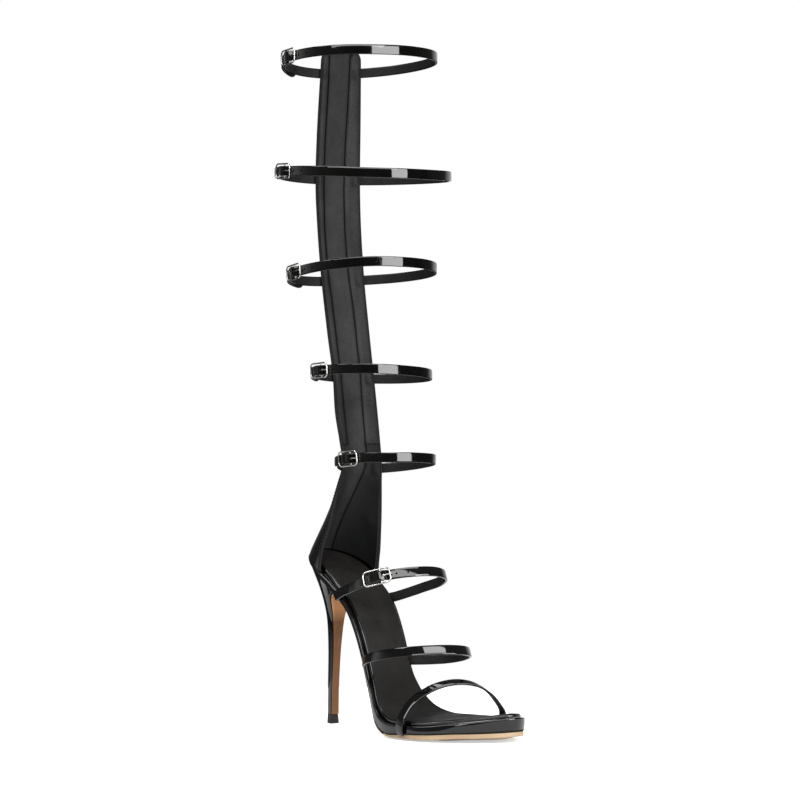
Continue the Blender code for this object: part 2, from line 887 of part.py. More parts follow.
def prong_line():
    """Centre line of the prong: an eye round the bar, then straight to the frame's end."""
    line = []
    for degrees in PRONG_EYE_ANGLES:
        angle = math.radians(degrees)
        x = BAR_PLACE + PRONG_EYE * math.sin(angle)
        line.append((x, 0.0, PRONG_EYE * math.cos(angle)))
    line.reverse()
    end = FRAME_LENGTH / 2.0 + PRONG_OVERHANG
    rest = FRAME_WIRE + PRONG_WIRE + PRONG_CLEARANCE
    out, up = PRONG_NECK
    line.append((BAR_PLACE + out, 0.0, PRONG_EYE + up))
    line.append((end - PRONG_TIP, 0.0, rest + PRONG_TIP_DROP))
    line.append((end, 0.0, rest - PRONG_TIP_DROP))
    return line


def buckled_strap(name, band, root_short, middle, tip, root_long, droop, group, cutters, materials):
    """Short strap, long strap, buckle frame and prong on one band."""
    patent = materials["patent_black"]
    metal = materials["silver_metal"]
    seat = shifted(band.matrix(middle), z=FRAME_HEIGHT)
    seat = seat @ Matrix.Rotation(math.radians(-FRAME_TILT), 4, "Y")
    bar_seat = shifted(seat, x=BAR_PLACE)

    short = sweep(
        name + "_short",
        band,
        root_short,
        middle + BAR_PLACE,
        ride_height(SHORT_STRAP_RIDE, middle + BAR_PLACE),
        SHORT_THICKNESS,
        flat(STRAP_WIDTH),
        SHORT_STRAP_STEP,
    )
    finish(short, group, patent)
    fold = cylinder(name + "_fold", FOLD_RADIUS, STRAP_WIDTH, 16, bar_seat)
    bore = cylinder(name + "_bore", FOLD_BORE, STRAP_WIDTH + 2.0 * BORE_OVERSHOOT, 12, bar_seat)
    slot_x, slot_z = SLOT_SHIFT
    slot = box(name + "_slot", SLOT_SIZE, shifted(bar_seat, x=slot_x, z=slot_z))
    boolean(short, fold, "UNION", cutters)
    boolean(short, bore, "DIFFERENCE", cutters)
    boolean(short, slot, "DIFFERENCE", cutters)

    long = long_strap(name + "_long", band, middle, tip, root_long, droop)
    finish(long, group, patent)
    hole_x, hole_z = HOLE_SHIFT
    hole = box(name + "_hole", HOLE_SIZE, shifted(bar_seat, x=hole_x, z=hole_z))
    boolean(long, hole, "DIFFERENCE", cutters)

    frame = tube(name + "_buckle", frame_outline(), FRAME_WIRE, True)
    frame.matrix_world = seat
    finish(frame, group, metal)
    half_bar = FRAME_WIDTH / 2.0 - FRAME_WIRE
    bar = tube(name + "_bar", [(0, -half_bar, 0), (0, half_bar, 0)], BAR_WIRE, False)
    bar.matrix_world = bar_seat
    boolean(frame, bar, "UNION", cutters)

    prong = tube(name + "_prong", prong_line(), PRONG_WIRE, False)
    prong.matrix_world = seat
    finish(prong, group, metal)


# ---------------------------------------------------------------- zip


def zip_frame(height):
    """Axes at the zip: X down the zip, Y across it, Z outward."""
    point, normal, up = leg_frame(height, ZIP_ANGLE)
    down = -up
    across = unit(np.cross(normal, down))
    axes = Matrix((down, across, normal)).transposed().to_4x4()
    axes.translation = Vector(point) * MM
    return axes


def zip_band():
    heights = np.linspace(ZIP_LOW, ZIP_HIGH, int((ZIP_HIGH - ZIP_LOW) / ZIP_STEP) + 1)
    points = []
    normals = []
    widths = []
    for height in heights:
        point, normal, up = leg_frame(height, ZIP_ANGLE)
        points.append(point)
        normals.append(normal)
        widths.append(unit(np.cross(normal, up)))
    return Band(points, normals, widths)


def make_zip(group, cutters, materials):
    band = zip_band()
    chain = sweep(
        "zip_chain", band, 0.0, band.length, flat(GAP), ZIP_THICKNESS, flat(ZIP_WIDTH), ZIP_STEP
    )
    finish(chain, group, materials["zip_black"])

    axes = zip_frame(SLIDER_HEIGHT)
    body_height = GAP + ZIP_THICKNESS + GAP + SLIDER_SIZE[2] / 2.0
    slider = box("zip_slider", SLIDER_SIZE, shifted(axes, z=body_height))
    finish(slider, group, materials["silver_metal"])
    for side in (-1.0, 1.0):
        offset = side * (PIN_LENGTH - LUG_SIZE[1]) / 2.0
        lug_axes = shifted(axes, y=offset, z=PIN_STAND_OFF - LUG_DROP)
        lug = box(f"zip_lug_{int(side)}", LUG_SIZE, lug_axes)
        boolean(slider, lug, "UNION", cutters)
    pin_axes = shifted(axes, z=PIN_STAND_OFF)
    pin = cylinder("zip_pin", PIN_WIRE, PIN_LENGTH - 2.0 * PIN_RECESS, 12, pin_axes)
    boolean(slider, pin, "UNION", cutters)

    pull = cylinder("zip_pull", BARREL_RADIUS, BARREL_LENGTH, 16, pin_axes)
    finish(pull, group, materials["patent_black"])
    tab_size = (PULL_LENGTH, PULL_WIDTH, PULL_THICKNESS)
    tab = box("zip_tab", tab_size, shifted(pin_axes, x=PULL_LENGTH / 2.0 + PULL_START))
    neck_size = (NECK_LENGTH, BARREL_LENGTH, NECK_THICKNESS)
    neck = box("zip_neck", neck_size, shifted(pin_axes, x=NECK_SHIFT))
    bore_length = BARREL_LENGTH + 2.0 * BARREL_BORE_OVERSHOOT
    bore = cylinder("zip_bore", BARREL_BORE, bore_length, 12, pin_axes)
    boolean(pull, neck, "UNION", cutters)
    boolean(pull, tab, "UNION", cutters)
    boolean(pull, bore, "DIFFERENCE", cutters)


# ---------------------------------------------------------------- assembly


def make_soles(group, materials):
    insole = sole_layer("insole", insole_inset, flat(0.0), flat(INSOLE_THICKNESS))
    finish(insole, group, materials["insole_black"])
    platform = sole_layer("platform", flat(0.0), platform_top, platform_bottom)
    finish(platform, group, materials["patent_black"])
    breast_row = (len(SEAT_ANGLES) - 1) * OUTLINE_STEPS
    outsole = sole_layer(
        "outsole", flat(OUTSOLE_INSET), outsole_top, outsole_bottom, breast_row, TREAD_BELLY
    )
    finish(outsole, group, materials["sole_leather"])


def make_heel_pieces(group, materials):
    finish(make_heel(), group, materials["patent_black"])
    finish(make_breast_cover(), group, materials["breast_leather"])
    finish(make_top_lift(), group, materials["tip_rubber"])


def make_shaft_straps(group, cutters, materials):
    for name, *stations, buckle_angle, tip_angle, droop in SHAFT_STRAPS:
        band = shaft_band(stations)
        zip_place = band_place(band, ZIP_ANGLE)
        loop = band_place(band, 360.0 + ZIP_ANGLE)
        buckled_strap(
            name,
            band,
            zip_place + ROOT_CLEARANCE,
            band_place(band, buckle_angle),
            band_place(band, tip_angle),
            loop - ROOT_CLEARANCE,
            droop,
            group,
            cutters,
            materials,
        )


def make_sandal_straps(group, cutters, materials):
    instep = sandal_band(INSTEP_PATH, INSTEP_ROOTS, INSTEP_LEAN, 0.0)
    buckled_strap(
        "instep_strap",
        instep,
        0.0,
        INSTEP_BUCKLE,
        INSTEP_TAIL,
        instep.length,
        0.0,
        group,
        cutters,
        materials,
    )
    plain = (
        ("midfoot_strap", MIDFOOT_PATH, MIDFOOT_ROOTS, MIDFOOT_LEAN, STRAP_WIDTH, 0.0),
        ("toe_strap", TOE_PATH, TOE_ROOTS, TOE_LEAN, TOE_STRAP_WIDTH, TOE_ROOT_INSET),
    )
    for name, path, roots, lean, width, inset in plain:
        band = sandal_band(path, roots, lean, inset)
        strap = sweep(
            name, band, 0.0, band.length, flat(0.0), STRAP_THICKNESS, flat(width), PLAIN_STRAP_STEP
        )
        finish(strap, group, materials["patent_black"])


def main():
    clear_scene()
    group = new_collection(NAME)
    cutters = new_collection("cutters")
    materials = {name: make_material(name) for name in FINISHES}
    make_soles(group, materials)
    make_heel_pieces(group, materials)
    finish(make_upper(), group, materials["patent_black"])
    make_shaft_straps(group, cutters, materials)
    make_sandal_straps(group, cutters, materials)
    make_zip(group, cutters, materials)


main()
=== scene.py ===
"""Looks of the knee-high strappy sandal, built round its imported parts.

World frame as packed: metres, +X from heel to toe, +Y to the inner side of the foot, +Z up.
Lengths in the constants and tables are millimetres and angles are degrees.
"""

import math

import bmesh
import bpy
import numpy as np
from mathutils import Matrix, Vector


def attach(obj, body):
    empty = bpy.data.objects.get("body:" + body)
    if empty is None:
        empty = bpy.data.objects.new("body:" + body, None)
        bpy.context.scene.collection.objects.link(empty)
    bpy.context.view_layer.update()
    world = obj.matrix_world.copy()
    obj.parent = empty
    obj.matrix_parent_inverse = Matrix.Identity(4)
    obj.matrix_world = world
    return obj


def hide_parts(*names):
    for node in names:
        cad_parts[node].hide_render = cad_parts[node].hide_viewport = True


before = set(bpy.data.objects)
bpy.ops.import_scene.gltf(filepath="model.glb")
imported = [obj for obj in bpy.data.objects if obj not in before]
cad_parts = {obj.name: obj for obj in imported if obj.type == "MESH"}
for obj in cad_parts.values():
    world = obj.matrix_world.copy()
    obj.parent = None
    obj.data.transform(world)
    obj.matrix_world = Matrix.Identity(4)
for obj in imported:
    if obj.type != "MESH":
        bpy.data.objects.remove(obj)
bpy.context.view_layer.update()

MM = 0.001
GAP = 0.3

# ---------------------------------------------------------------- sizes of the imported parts

INSOLE_THICKNESS = 2.7
INSOLE_INSET = 2.8
INSOLE_SEAT_INSET = 4.8
SEAT_INSET_START = 18
SEAT_INSET_END = 34
# Thickness of platform and outsole along the foot: x, thickness
PLATFORM_PROFILE = (
    (-24, 2.7), (62, 2.7), (76, 4.2), (88, 6.7), (97, 8), (106, 8.1), (117, 7.1),
    (128, 6.3), (139, 5.9), (150, 6.4), (160, 7.1), (171, 8.2), (181, 9.3),
    (188, 9.9),
)
OUTSOLE_PROFILE = (
    (-24, 1.7), (96, 1.6), (106, 1.3), (117, 2.3), (128, 3.1), (143, 3.4),
    (181, 3.2), (188, 3),
)
TREAD_BELLY = 1.5
BELLY_START = 62
BELLY_END = 96
BELLY_REACH = 20
# Platform's side: how strongly it bulges, where along the foot it is widest (x, share of the
# height from the top) and the shares where the profile is cut
SIDE_BULGE = 0.85
SIDE_WIDEST = (
    (70, 0.35), (104, 0.42), (120, 0.5), (138, 0.8), (152, 0.8), (162, 0.45),
    (174, 0.25), (184, 0.1),
)
SIDE_SHARES = (0, 0.14, 0.28, 0.42, 0.56, 0.7, 0.88, 1)
TAN_EDGE_START = 101
OUTSOLE_INSET = 0.9

# Foot bed: x, z of the insole's top, slope
FOOT_BED = np.array((
    (-18, 129.2, -0.16), (5, 121.9, -0.44), (30, 107.4, -0.76), (50, 89.3, -1.37),
    (65, 62.6, -2.17), (80, 32.6, -1.52), (95, 17.9, -0.46), (110, 14.2, 0),
    (134, 14.2, 0), (160, 17.1, 0.13), (190, 22.1, 0.19),
))

BACK_SHARPNESS = 0.12
SEAT_CENTRE = 14
SEAT_LENGTH = 32
SEAT_HALF_WIDTH = 24.5
SEAT_ANGLES = (0, 32, 62, 90)
TOE_TIP = (186.5, 14.5)
# Sole's edges in front of the seat: x outer, y outer, x inner, y inner
SOLE_EDGES = (
    (28, -23.8, 28, 24), (43, -22.6, 43, 23), (58, -22.4, 58, 21),
    (72, -24, 72, 19.4), (87, -30, 88, 25.2), (105, -34.2, 108, 34.2),
    (125, -34, 130, 41), (143, -28.8, 149, 43), (158, -20, 165.5, 40),
    (171, -8.5, 178, 32.5), (181, 4, 185, 24),
)
OUTLINE_STEPS = 12

# Heel: height, back x, breast x, half width, share of the seat's tilt
HEEL_SECTIONS = (
    (7, -4.4, 2.6, 3.4, 0), (30, -4.2, 3.3, 3.3, 0), (55, -3.6, 5.2, 3.8, 0),
    (76, -4, 6.9, 5.6, 0.02), (89, -6.2, 8.3, 8.6, 0.12), (98.5, -9.6, 9.7, 12.4, 0.35),
    (105.3, -13.2, 11.2, 16.8, 0.7), (110.7, -15.9, 12.5, 20.8, 1),
)
HEEL_BACK_ROUNDNESS = 0.85
HEEL_SIDE_ROUNDNESS = 1
BREAST_THICKNESS = 0.9
# Height and share of the heel's width that the breast cover takes
BREAST_SHARES = (
    (0, 0.92), (30, 0.9), (55, 0.84), (84, 0.86), (91.5, 0.86), (95, 0.78), (97.2, 0.58),
    (98.6, 0.35), (99.4, 0.12),
)
BREAST_CORNER = 0.3
LIFT_HEIGHT = 6.7
LIFT_FLARE = 0.35
# Heel tip from its top down: height, how far it stands out past the heel's foot
LIFT_PROFILE = (
    (LIFT_HEIGHT, -0.25), (LIFT_HEIGHT - 0.25, 0), (0.3, LIFT_FLARE), (0, LIFT_FLARE - 0.3),
)

# Leg surface: height, centre x and y, half depth, half width, share of the seat's tilt,
# outer and inner front edge of the upper as angles from the back
LEG_SECTIONS = (
    (114.6, 14, 0, 31.7, 24.2, 1, 93, -113),
    (123, 18, 0.4, 32.2, 24.2, 0.9, 85, -103),
    (135, 23.9, 1.2, 32.9, 24, 0.7, 76.5, -94),
    (149, 31.2, 2.4, 34, 23.8, 0.45, 69.5, -82.5),
    (164, 39.8, 4.2, 36.2, 24.8, 0.2, 53.8, -68.3),
    (178, 46.4, 6.4, 38.2, 26.6, 0.05, 36.4, -56.2),
    (192, 50.1, 8.3, 38.8, 29.8, 0, 26, -46.8),
    (209, 49.4, 7.4, 40.2, 34.2, 0, 20.2, -43.8),
    (230, 46.2, 5.2, 41, 38.6, 0, 14.4, -43.8),
    (258, 41.3, 2.7, 41.5, 41.3, 0, 5, -45.4),
    (292, 36.3, 0, 45.8, 46.2, 0, -2, -46.8),
    (330, 33.9, -1.6, 51.6, 51.6, 0, -5, -45.4),
    (367, 35, -2.1, 57.8, 57.8, 0, -5.4, -42.3),
    (402, 36.1, -2.3, 61.7, 61.7, 0, -5.6, -40.9),
    (442, 35.1, -2.4, 59.4, 59.4, 0, -6.4, -42),
    (484, 33, -2.4, 54.6, 54.6, 0, -8, -43.8),
    (502, 32.6, -2.4, 52.8, 52.8, 0, -8.4, -44.2),
)
LEG_STEPS = 24
WALL = 2.2
UPPER_TOP = 502
UPPER_CORNER = 9
UPPER_LOW = 114.6
PANEL_ANGLE = -22

STRAP_WIDTH = 7.2
STRAP_THICKNESS = 1.6
ROOT_STAND_OFF = 0.8
TAIL_POINT = 6
ROOT_CLEARANCE = 4.6
# Straps round the leg: name, heights at the panel, outer side, front and inner side, angles of
# buckle and tail, the tail's droop, and how far the strap strays from the leg surface on both
# sides of its front and at its front
SHAFT_STRAPS = (
    ("strap_1", 483.6, 486.8, 489.8, 488.8, 80, 18, 2.6, 0.17, -0.56),
    ("strap_2", 404.4, 404.8, 400.8, 403.4, 82, 44, 0, 2.67, 1.2),
    ("strap_3", 328.2, 330.5, 338.4, 333.7, 82, 15, 2.4, 1.06, -1.46),
    ("strap_4", 255.6, 259.9, 261.6, 256.5, 88, 24, 1.6, -0.85, -0.12),
    ("strap_5", 188.6, 195.4, 198, 193.9, 93, 50, 0, -1.42, -0.29),
)
STRAY_CENTRE = 160
STRAY_REACH = 40
# Sandal straps: x, y, z of the inner face along each, from the outer to the inner side
INSTEP_PATH = (
    (46, -26.2, 100.4), (61, -29.6, 104.2), (80, -31.2, 110), (95, -23.6, 114.6),
    (105.5, -9, 116.8), (108.4, 7, 116.4), (101.5, 22, 113), (86, 30.4, 107.8),
    (69, 29.8, 103), (56, 26.6, 98.8),
)
INSTEP_ROOTS = ((36, 97), (44, 95.2))
# Direction of a sandal strap's upper edge at shares of its length: share, x, y, z
INSTEP_LEANS = (
    (0, -0.74, 0, 0.67), (0.14, -0.66, 0.1, 0.74), (0.24, -0.3, 0.12, 0.94),
    (0.34, -0.34, 0, 0.94), (1, -0.34, 0, 0.94),
)
INSTEP_BUCKLE = 57
INSTEP_TAIL = 41
MIDFOOT_PATH = (
    (80, -29.5, 54.7), (96, -31.5, 58), (112, -27.5, 60.9), (125, -19.5, 62.5),
    (133.5, -8, 63.1), (137, 5, 62.5), (134, 16, 60.9), (125, 25.5, 58.5),
    (110, 31.5, 55.2), (94, 31.5, 52.5), (80, 26.5, 51.1),
)
MIDFOOT_ROOTS = ((69, 51.7), (68, 50.4))
MIDFOOT_LEANS = (
    (0, -0.45, 0.2, 0.88), (0.15, -0.42, 0.35, 0.88), (0.3, -0.435, 0.1, 0.9),
    (1, -0.435, 0, 0.9),
)
TOE_PATH = (
    (123, -35.3, 12), (123.6, -33.6, 17.2), (125.6, -27.8, 26), (129.3, -18.4, 33.2),
    (133.5, -7.2, 37.9), (137.4, 5.9, 39.5), (140.2, 19.4, 36.9), (141.9, 30.1, 30.6),
    (142.6, 37.8, 22.6), (142.9, 41.1, 17.6),
)
TOE_ROOTS = ((122.6, 7.4), (143, 13.4))
TOE_LEANS = ((0, -0.93, 0, 0.36), (1, -0.93, 0, 0.36))
TOE_STRAP_WIDTH = 7
TOE_ROOT_INSET = 2.3

FRAME_LENGTH = 21.4
FRAME_WIDTH = 11.6
FRAME_CORNER = 3
FRAME_WIRE = 0.58
FRAME_TILT = -6
FRAME_HEIGHT = 3.75
BAR_PLACE = 3
BAR_WIRE = 0.55
FOLD_RADIUS = 1.45
SHORT_THICKNESS = 1.4
PRONG_WIRE = 0.45
PRONG_EYE = 1.25
# Slot for the prong in the short strap: length, width, corner
PRONG_SLOT = (5.2, 2.2, 0.9)
PRONG_HOLE = 0.95
# How high a strap's inner face rides near the buckle: place along it, height
LONG_STRAP_RIDE = (
    (-400, 2.3), (-9, 2.3), (-2.5, 4.2), (2.8, 5.3), (8.6, 0.6), (400, 0.6),
)
SHORT_STRAP_RIDE = ((-400, 0.6), (-7, 0.6), (0, 2.7), (400, 2.7))

ZIP_ANGLE = -23
ZIP_WIDTH = 5
ZIP_THICKNESS = 1
ZIP_LOW = 136
ZIP_HIGH = 497
SLIDER_HEIGHT = 492
SLIDER_THICKNESS = 2.4
# Slider's outline on one side, from its lower to its upper end: down the zip, half width
SLIDER_WAIST = ((4.5, 1.6), (3.4, 2.1), (1.2, 2.3), (-1.6, 3), (-3.4, 3.3), (-4.5, 2.6))
PIN_WIRE = 0.6
PIN_LENGTH = 6.4
PIN_STAND_OFF = 6.1
BARREL_RADIUS = 1.6
BARREL_BORE = 0.95
BARREL_LENGTH = 4
# Barrel's section: radius, share of the half length
BARREL_PROFILE = (
    (BARREL_BORE, -1), (BARREL_RADIUS - 0.15, -1), (BARREL_RADIUS, -0.92),
    (BARREL_RADIUS, 0.92), (BARREL_RADIUS - 0.15, 1), (BARREL_BORE, 1),
)
# Outlines of the slider's lugs and of the pull's neck: length, width, corner
LUG = (2.6, 4.2, 1)
NECK = (6.2, BARREL_LENGTH, 0.5)
NECK_PLACE = 4.2
PULL_PLACE = 5.4
PULL_LENGTH = 35
PULL_WIDTH = 8
PULL_THICKNESS = 1.8

# ---------------------------------------------------------------- sizes of the finish

SHARP_ANGLE = 38
RIM_ROUND = 1.1
SOCK_INSET = 1
SOCK_THICKNESS = 0.45
SOCK_CROWN = 0.5
DOME_POWER = 2.6
LINING_INSET = 1
LINING_THICKNESS = 0.3
LINING_RISE = 4
SIDE_THICKNESS = 0.75
STRIP_HALF_WIDTH = 8.6
STRIP_THICKNESS = 1.05
SEAM_WIDTH = 0.65
CUP_GAP = 0.3
LEVEL_STEP = 1.25
RIM_REACH = 1.45
# Distances of a sheet's closest points from its side edges and from its top
NEAR_EDGE = (0, 0.05, 0.18, 0.38, 0.65, 1, 1.4)
NEAR_TOP = (0, 0.05, 0.18, 0.38, 0.65, 1, 1.5, 2.2, 3, 4, 5, 6.5, 8)
# Lighter and darker patches of the linings: level, angle, half height, half width, amount
TONE_PATCHES = (
    (490, -25, 20, 8, -0.3), (432, -36, 34, 7, 0.35),
    (300, -40, 30, 8, 0.45), (302, -20, 30, 7, 0.3), (300, -6, 26, 7, 0.4),
    (366, -20, 30, 6, 0.2), (236, -14, 20, 8, -0.25),
    (158, -34, 30, 14, -0.35),
)
STRIP_LOW = 196
# Level and angle of the middle of the strip that covers the zip inside
STRIP_LINE = (
    (190, -7), (207, -8.8), (224, -11.6), (239, -14.2), (262, -18.6), (291, -22.2),
    (314, -22.8), (340, -21.4), (366, -20.2), (396, -20.2), (434, -21.5), (478, -24.4),
    (502, -25.4),
)
# Creases of the panel: level and angle at both ends, depth inwards and width
CREASES = (
    (131, 40, 152, 12, 0.5, 3.2), (146, -74, 158, -46, 0.45, 3),
    (168, -58, 176, -30, -0.4, 3.4), (186, -44, 183, -14, 0.35, 3),
    (214, -40, 246, -37, 0.3, 2.2), (262, -14, 300, -22, -0.35, 4.5),
    (285, -36, 318, -40, 0.35, 3), (342, -24, 384, -17, -0.4, 5),
    (352, -36, 388, -33, 0.35, 2.6), (418, -18, 462, -22, -0.4, 5.5),
    (424, -33, 470, -36, 0.3, 2.6), (300, -6, 372, -9, 0.3, 2.2),
    (214, -41, 214.4, -35, -0.5, 1.1), (218.4, -41.2, 218.9, -35.2, -0.5, 1.1),
    (222.9, -41.4, 223.5, -35.4, -0.5, 1.1), (227.5, -41.5, 228.2, -35.6, -0.5, 1.1),
    (232.2, -41.7, 233, -35.8, -0.5, 1.1), (237, -41.9, 237.9, -36, -0.4, 1.1),
)
CUP_SEAM = 207
# Level and angle of the curved seam inside the heel cup
CUP_CURVE = (
    (114, -24), (125, -21.5), (137.6, -18.4), (151, -17), (160, -17.4), (174, -20.2),
    (190, -23), (208, -24.6),
)
STRAP_UPRIGHT = 0.15
# Points that carry a sandal strap on from its roots into the sole: x, inward, z
INSTEP_TUCKS = (((33.2, 4.6, 98.2), (34.4, 1.8, 97.4)), ((40.2, 1.2, 94.4), (37.6, 4, 93.6)))
MIDFOOT_TUCKS = (((65, 4.2, 50.2), (66.4, 1.6, 51)), ((64.8, 2, 50.2), (62.8, 4.6, 50)))
TOE_TUCKS = (((122.5, 1.2, 4.3),), ((143, 3.4, 12.2),))
HOLE_RADIUS = 0.75
HOLE_SPACING = 8
HOLE_FIRST = 5.3
# The cutter's middle over a strap's inner face, and half its depth
HOLE_SEAT = 2.75
CUT_DEPTH = 2.4
# Steps between a strap's sections: short and plain straps; long strap before, at and behind
# the buckle
STRAP_STEP = 1.1
LONG_STEPS = (1.2, 0.55, 1.4)
# Stitches of the upper and of the pull tab: length, radius, pitch
PANEL_STITCHES = (1.7, 0.17, 2.5)
TAB_STITCHES = (1.6, 0.16, 2.2)
SEAM_INSET = 2.6
ZIP_SEAM = 5.2
TAB_SEAM = 1.2
TOOTH_PITCH = 1.1
TOOTH_HALF = (0.36, 0.95)
TOOTH_SHIFT = 0.35
# Zip tooth: height, share of its size
TOOTH_LEVELS = ((0, 1), (0.55, 1), (0.75, 0.7))

# Camera: direction to it in plan, distance, height, shift to its side, turn and lens
CAMERA_AZIMUTH = -40
CAMERA_DISTANCE = 2200
CAMERA_HEIGHT = 239.4
CAMERA_SIDE = 80.37
CAMERA_YAW = 0.79
LENS = 133.65
SENSOR = 36

FLOOR_GLOW = 0.5
# Brightness of the studio walls by the direction they are seen in
STUDIO_WALLS = (
    (-180, 0.05), (-163, 0.08), (-154, 0.68), (-142, 0.72), (-128, 0.36), (-112, 0.2),
    (-88, 0.12), (-66, 0.08), (-48, 0.025), (62, 0.025), (92, 0.08), (104, 0.7),
    (130, 1), (150, 1), (158, 0.12), (180, 0.05),
)
# Softboxes: name, target, azimuth, elevation, distance, width and height in metres, radiance
SOFTBOXES = (
    ("softbox_front", (80, -10, 250), 9, 4, 1.6, 0.95, 1.1, 10.5),
    ("softbox_high", (130, -5, 63), -22, 44.3, 5, 3.84, 0.84, 10),
    ("softbox_low", (90, -10, 112), -35, 25.5, 5, 7.9, 1.28, 7),
    ("softbox_left", (33, -23, 101), -105, 45.5, 5, 1.8, 2.5, 10),
    ("softbox_top", (133, -10, 38), 145.4, 75, 1.35, 0.56, 0.54, 6),
)


# ---------------------------------------------------------------- curves and surfaces


def unit(vectors):
    vectors = np.asarray(vectors, dtype=float)
    return vectors / np.linalg.norm(vectors, axis=-1, keepdims=True)


def ease(x, start, end):
    """0 before start, 1 after end and a smooth step between."""
    t = np.clip((np.asarray(x, dtype=float) - start) / (end - start), 0, 1)
    return t * t * (3 - 2 * t)


def bell(x, width):
    """1 at x = 0, falling off smoothly over a width."""
    return np.exp(-((x / width) ** 2))


def look_up(table, x):
    return np.interp(x, *np.array(table).T)


def read_rows(place, places, rows):
    return np.stack([np.interp(place, places, column) for column in np.asarray(rows).T], axis=-1)


def run_length(points):
    """Distance along a line at each of its points."""
    return np.concatenate([[0], np.cumsum(np.linalg.norm(np.diff(points, axis=0), axis=1))])


def smooth_rows(rows, steps, closed=False):
    """Catmull-Rom curve through the rows, with steps samples to each span."""
    rows = np.asarray(rows, dtype=float)
    if closed:
        rows = np.vstack([rows[-1:], rows, rows[:2]])
    else:
        rows = np.vstack([2 * rows[0] - rows[1], rows, 2 * rows[-1] - rows[-2]])
    t = (np.arange(steps) / steps)[:, None]
    out = []
    for p0, p1, p2, p3 in zip(rows, rows[1:], rows[2:], rows[3:]):
        square = 2 * p0 - 5 * p1 + 4 * p2 - p3
        cube = 3 * p1 - p0 - 3 * p2 + p3
        out.append(0.5 * (2 * p1 + (p2 - p0) * t + square * t * t + cube * t**3))
    return np.vstack(out if closed else out + [rows[-2:-1]])


def bed(x):
    """Height and slope of the insole's top at x, by cubic pieces between the rows."""
    x = np.clip(np.asarray(x, dtype=float), FOOT_BED[0, 0] - 6, FOOT_BED[-1, 0])
    i = np.clip(np.searchsorted(FOOT_BED[:, 0], x) - 1, 0, len(FOOT_BED) - 2)
    x0, z0, m0 = (FOOT_BED[i][..., k] for k in range(3))
    x1, z1, m1 = (FOOT_BED[i + 1][..., k] for k in range(3))
    h = x1 - x0
    t = (x - x0) / h
    height = z0 * (2 * t**3 - 3 * t**2 + 1) + h * m0 * (t**3 - 2 * t**2 + t)
    height = height + z1 * (3 * t**2 - 2 * t**3) + h * m1 * (t**3 - t**2)
    slope = (z1 - z0) / h * (6 * t - 6 * t**2)
    slope = slope + m0 * (3 * t**2 - 4 * t + 1) + m1 * (3 * t**2 - 2 * t)
    return np.where(t < 0, z0 + m0 * (x - x0), height), np.where(t < 0, m0, slope)


def layer_height(x, depth):
    height, slope = bed(x)
    return height - depth * np.hypot(1, slope)


def seat_rise(x):
    depth = INSOLE_THICKNESS + GAP
    return layer_height(x, depth) - layer_height(SEAT_CENTRE, depth)


def insole_inset(x):
    share = ease(x, SEAT_INSET_START, SEAT_INSET_END)
    return INSOLE_SEAT_INSET + share * (INSOLE_INSET - INSOLE_SEAT_INSET)


def platform_top(x):
    return INSOLE_THICKNESS + GAP + 0 * x


def platform_bottom(x):
    return platform_top(x) + look_up(PLATFORM_PROFILE, x)


def outsole_top(x):
    return platform_bottom(x) + GAP


def outsole_bottom(x):
    return outsole_top(x) + look_up(OUTSOLE_PROFILE, x)


def flat(value):
    return lambda place: value + 0.0 * np.asarray(place, dtype=float)


def left_normals(outline):
    """Unit normals to the left of a closed outline in two axes."""
    forward = np.roll(outline, -1, axis=0) - np.roll(outline, 1, axis=0)
    return unit(np.stack([-forward[:, 1], forward[:, 0]], axis=1))


def sole_edges(inset, extra=0):
    """Outer and inner edge of the sole from heel to toe tip, drawn in by inset(x) + extra."""
    pairs = []
    for angle in SEAT_ANGLES:
        cosine = math.cos(math.radians(angle))
        x = SEAT_CENTRE - SEAT_LENGTH * cosine
        y = SEAT_HALF_WIDTH * math.sin(math.radians(angle)) * (1 - BACK_SHARPNESS * cosine)
        pairs.append((x, -y, x, y))
    pairs += SOLE_EDGES
    outer = [pair[:2] for pair in pairs]
    inner = [pair[2:] for pair in pairs]
    curve = smooth_rows(outer + [TOE_TIP] + inner[:0:-1], OUTLINE_STEPS, closed=True)
    curve = curve + (inset(curve[:, 0]) + extra)[:, None] * left_normals(curve)
    half = len(curve) // 2
    return curve[: half + 1], np.vstack([curve[:1], curve[: half - 1 : -1]])


def edge_y(x, side, inset):
    outer, inner = sole_edges(flat(inset))
    edge = outer if side < 0 else inner
    return float(np.interp(x, edge[:, 0], edge[:, 1]))


LEG = smooth_rows(LEG_SECTIONS, LEG_STEPS)


def leg_column(level, column):
    return np.interp(level, LEG[:, 0], LEG[:, column])


def leg_width(level):
    return leg_column(level, 4)


def as_angle(level, distance):
    """Angle in degrees that a distance across the leg's back takes up."""
    return np.degrees(distance / leg_width(level))


def as_distance(level, angle):
    return np.radians(angle) * leg_width(level)


def leg(level, angle, stand_off=0):
    """Points on the leg surface or off it; the angle runs from the back to the outer side."""
    cx, cy, depth, width, tilt = (leg_column(level, k) for k in range(1, 6))
    turn = np.radians(angle)
    x = cx - (depth + stand_off) * np.cos(turn)
    y = cy - (width + stand_off) * np.sin(turn) * (1 - BACK_SHARPNESS * np.cos(turn))
    z = level + tilt * seat_rise(x)
    return np.stack(np.broadcast_arrays(x, y, z), axis=-1)


def leg_frame(level, angle):
    """Point, outward normal and upward direction on the leg surface."""
    around = leg(level, angle + 0.5) - leg(level, angle - 0.5)
    up = unit(leg(level + 2, angle) - leg(level - 2, angle))
    return leg(level, angle), unit(np.cross(around, up)), up


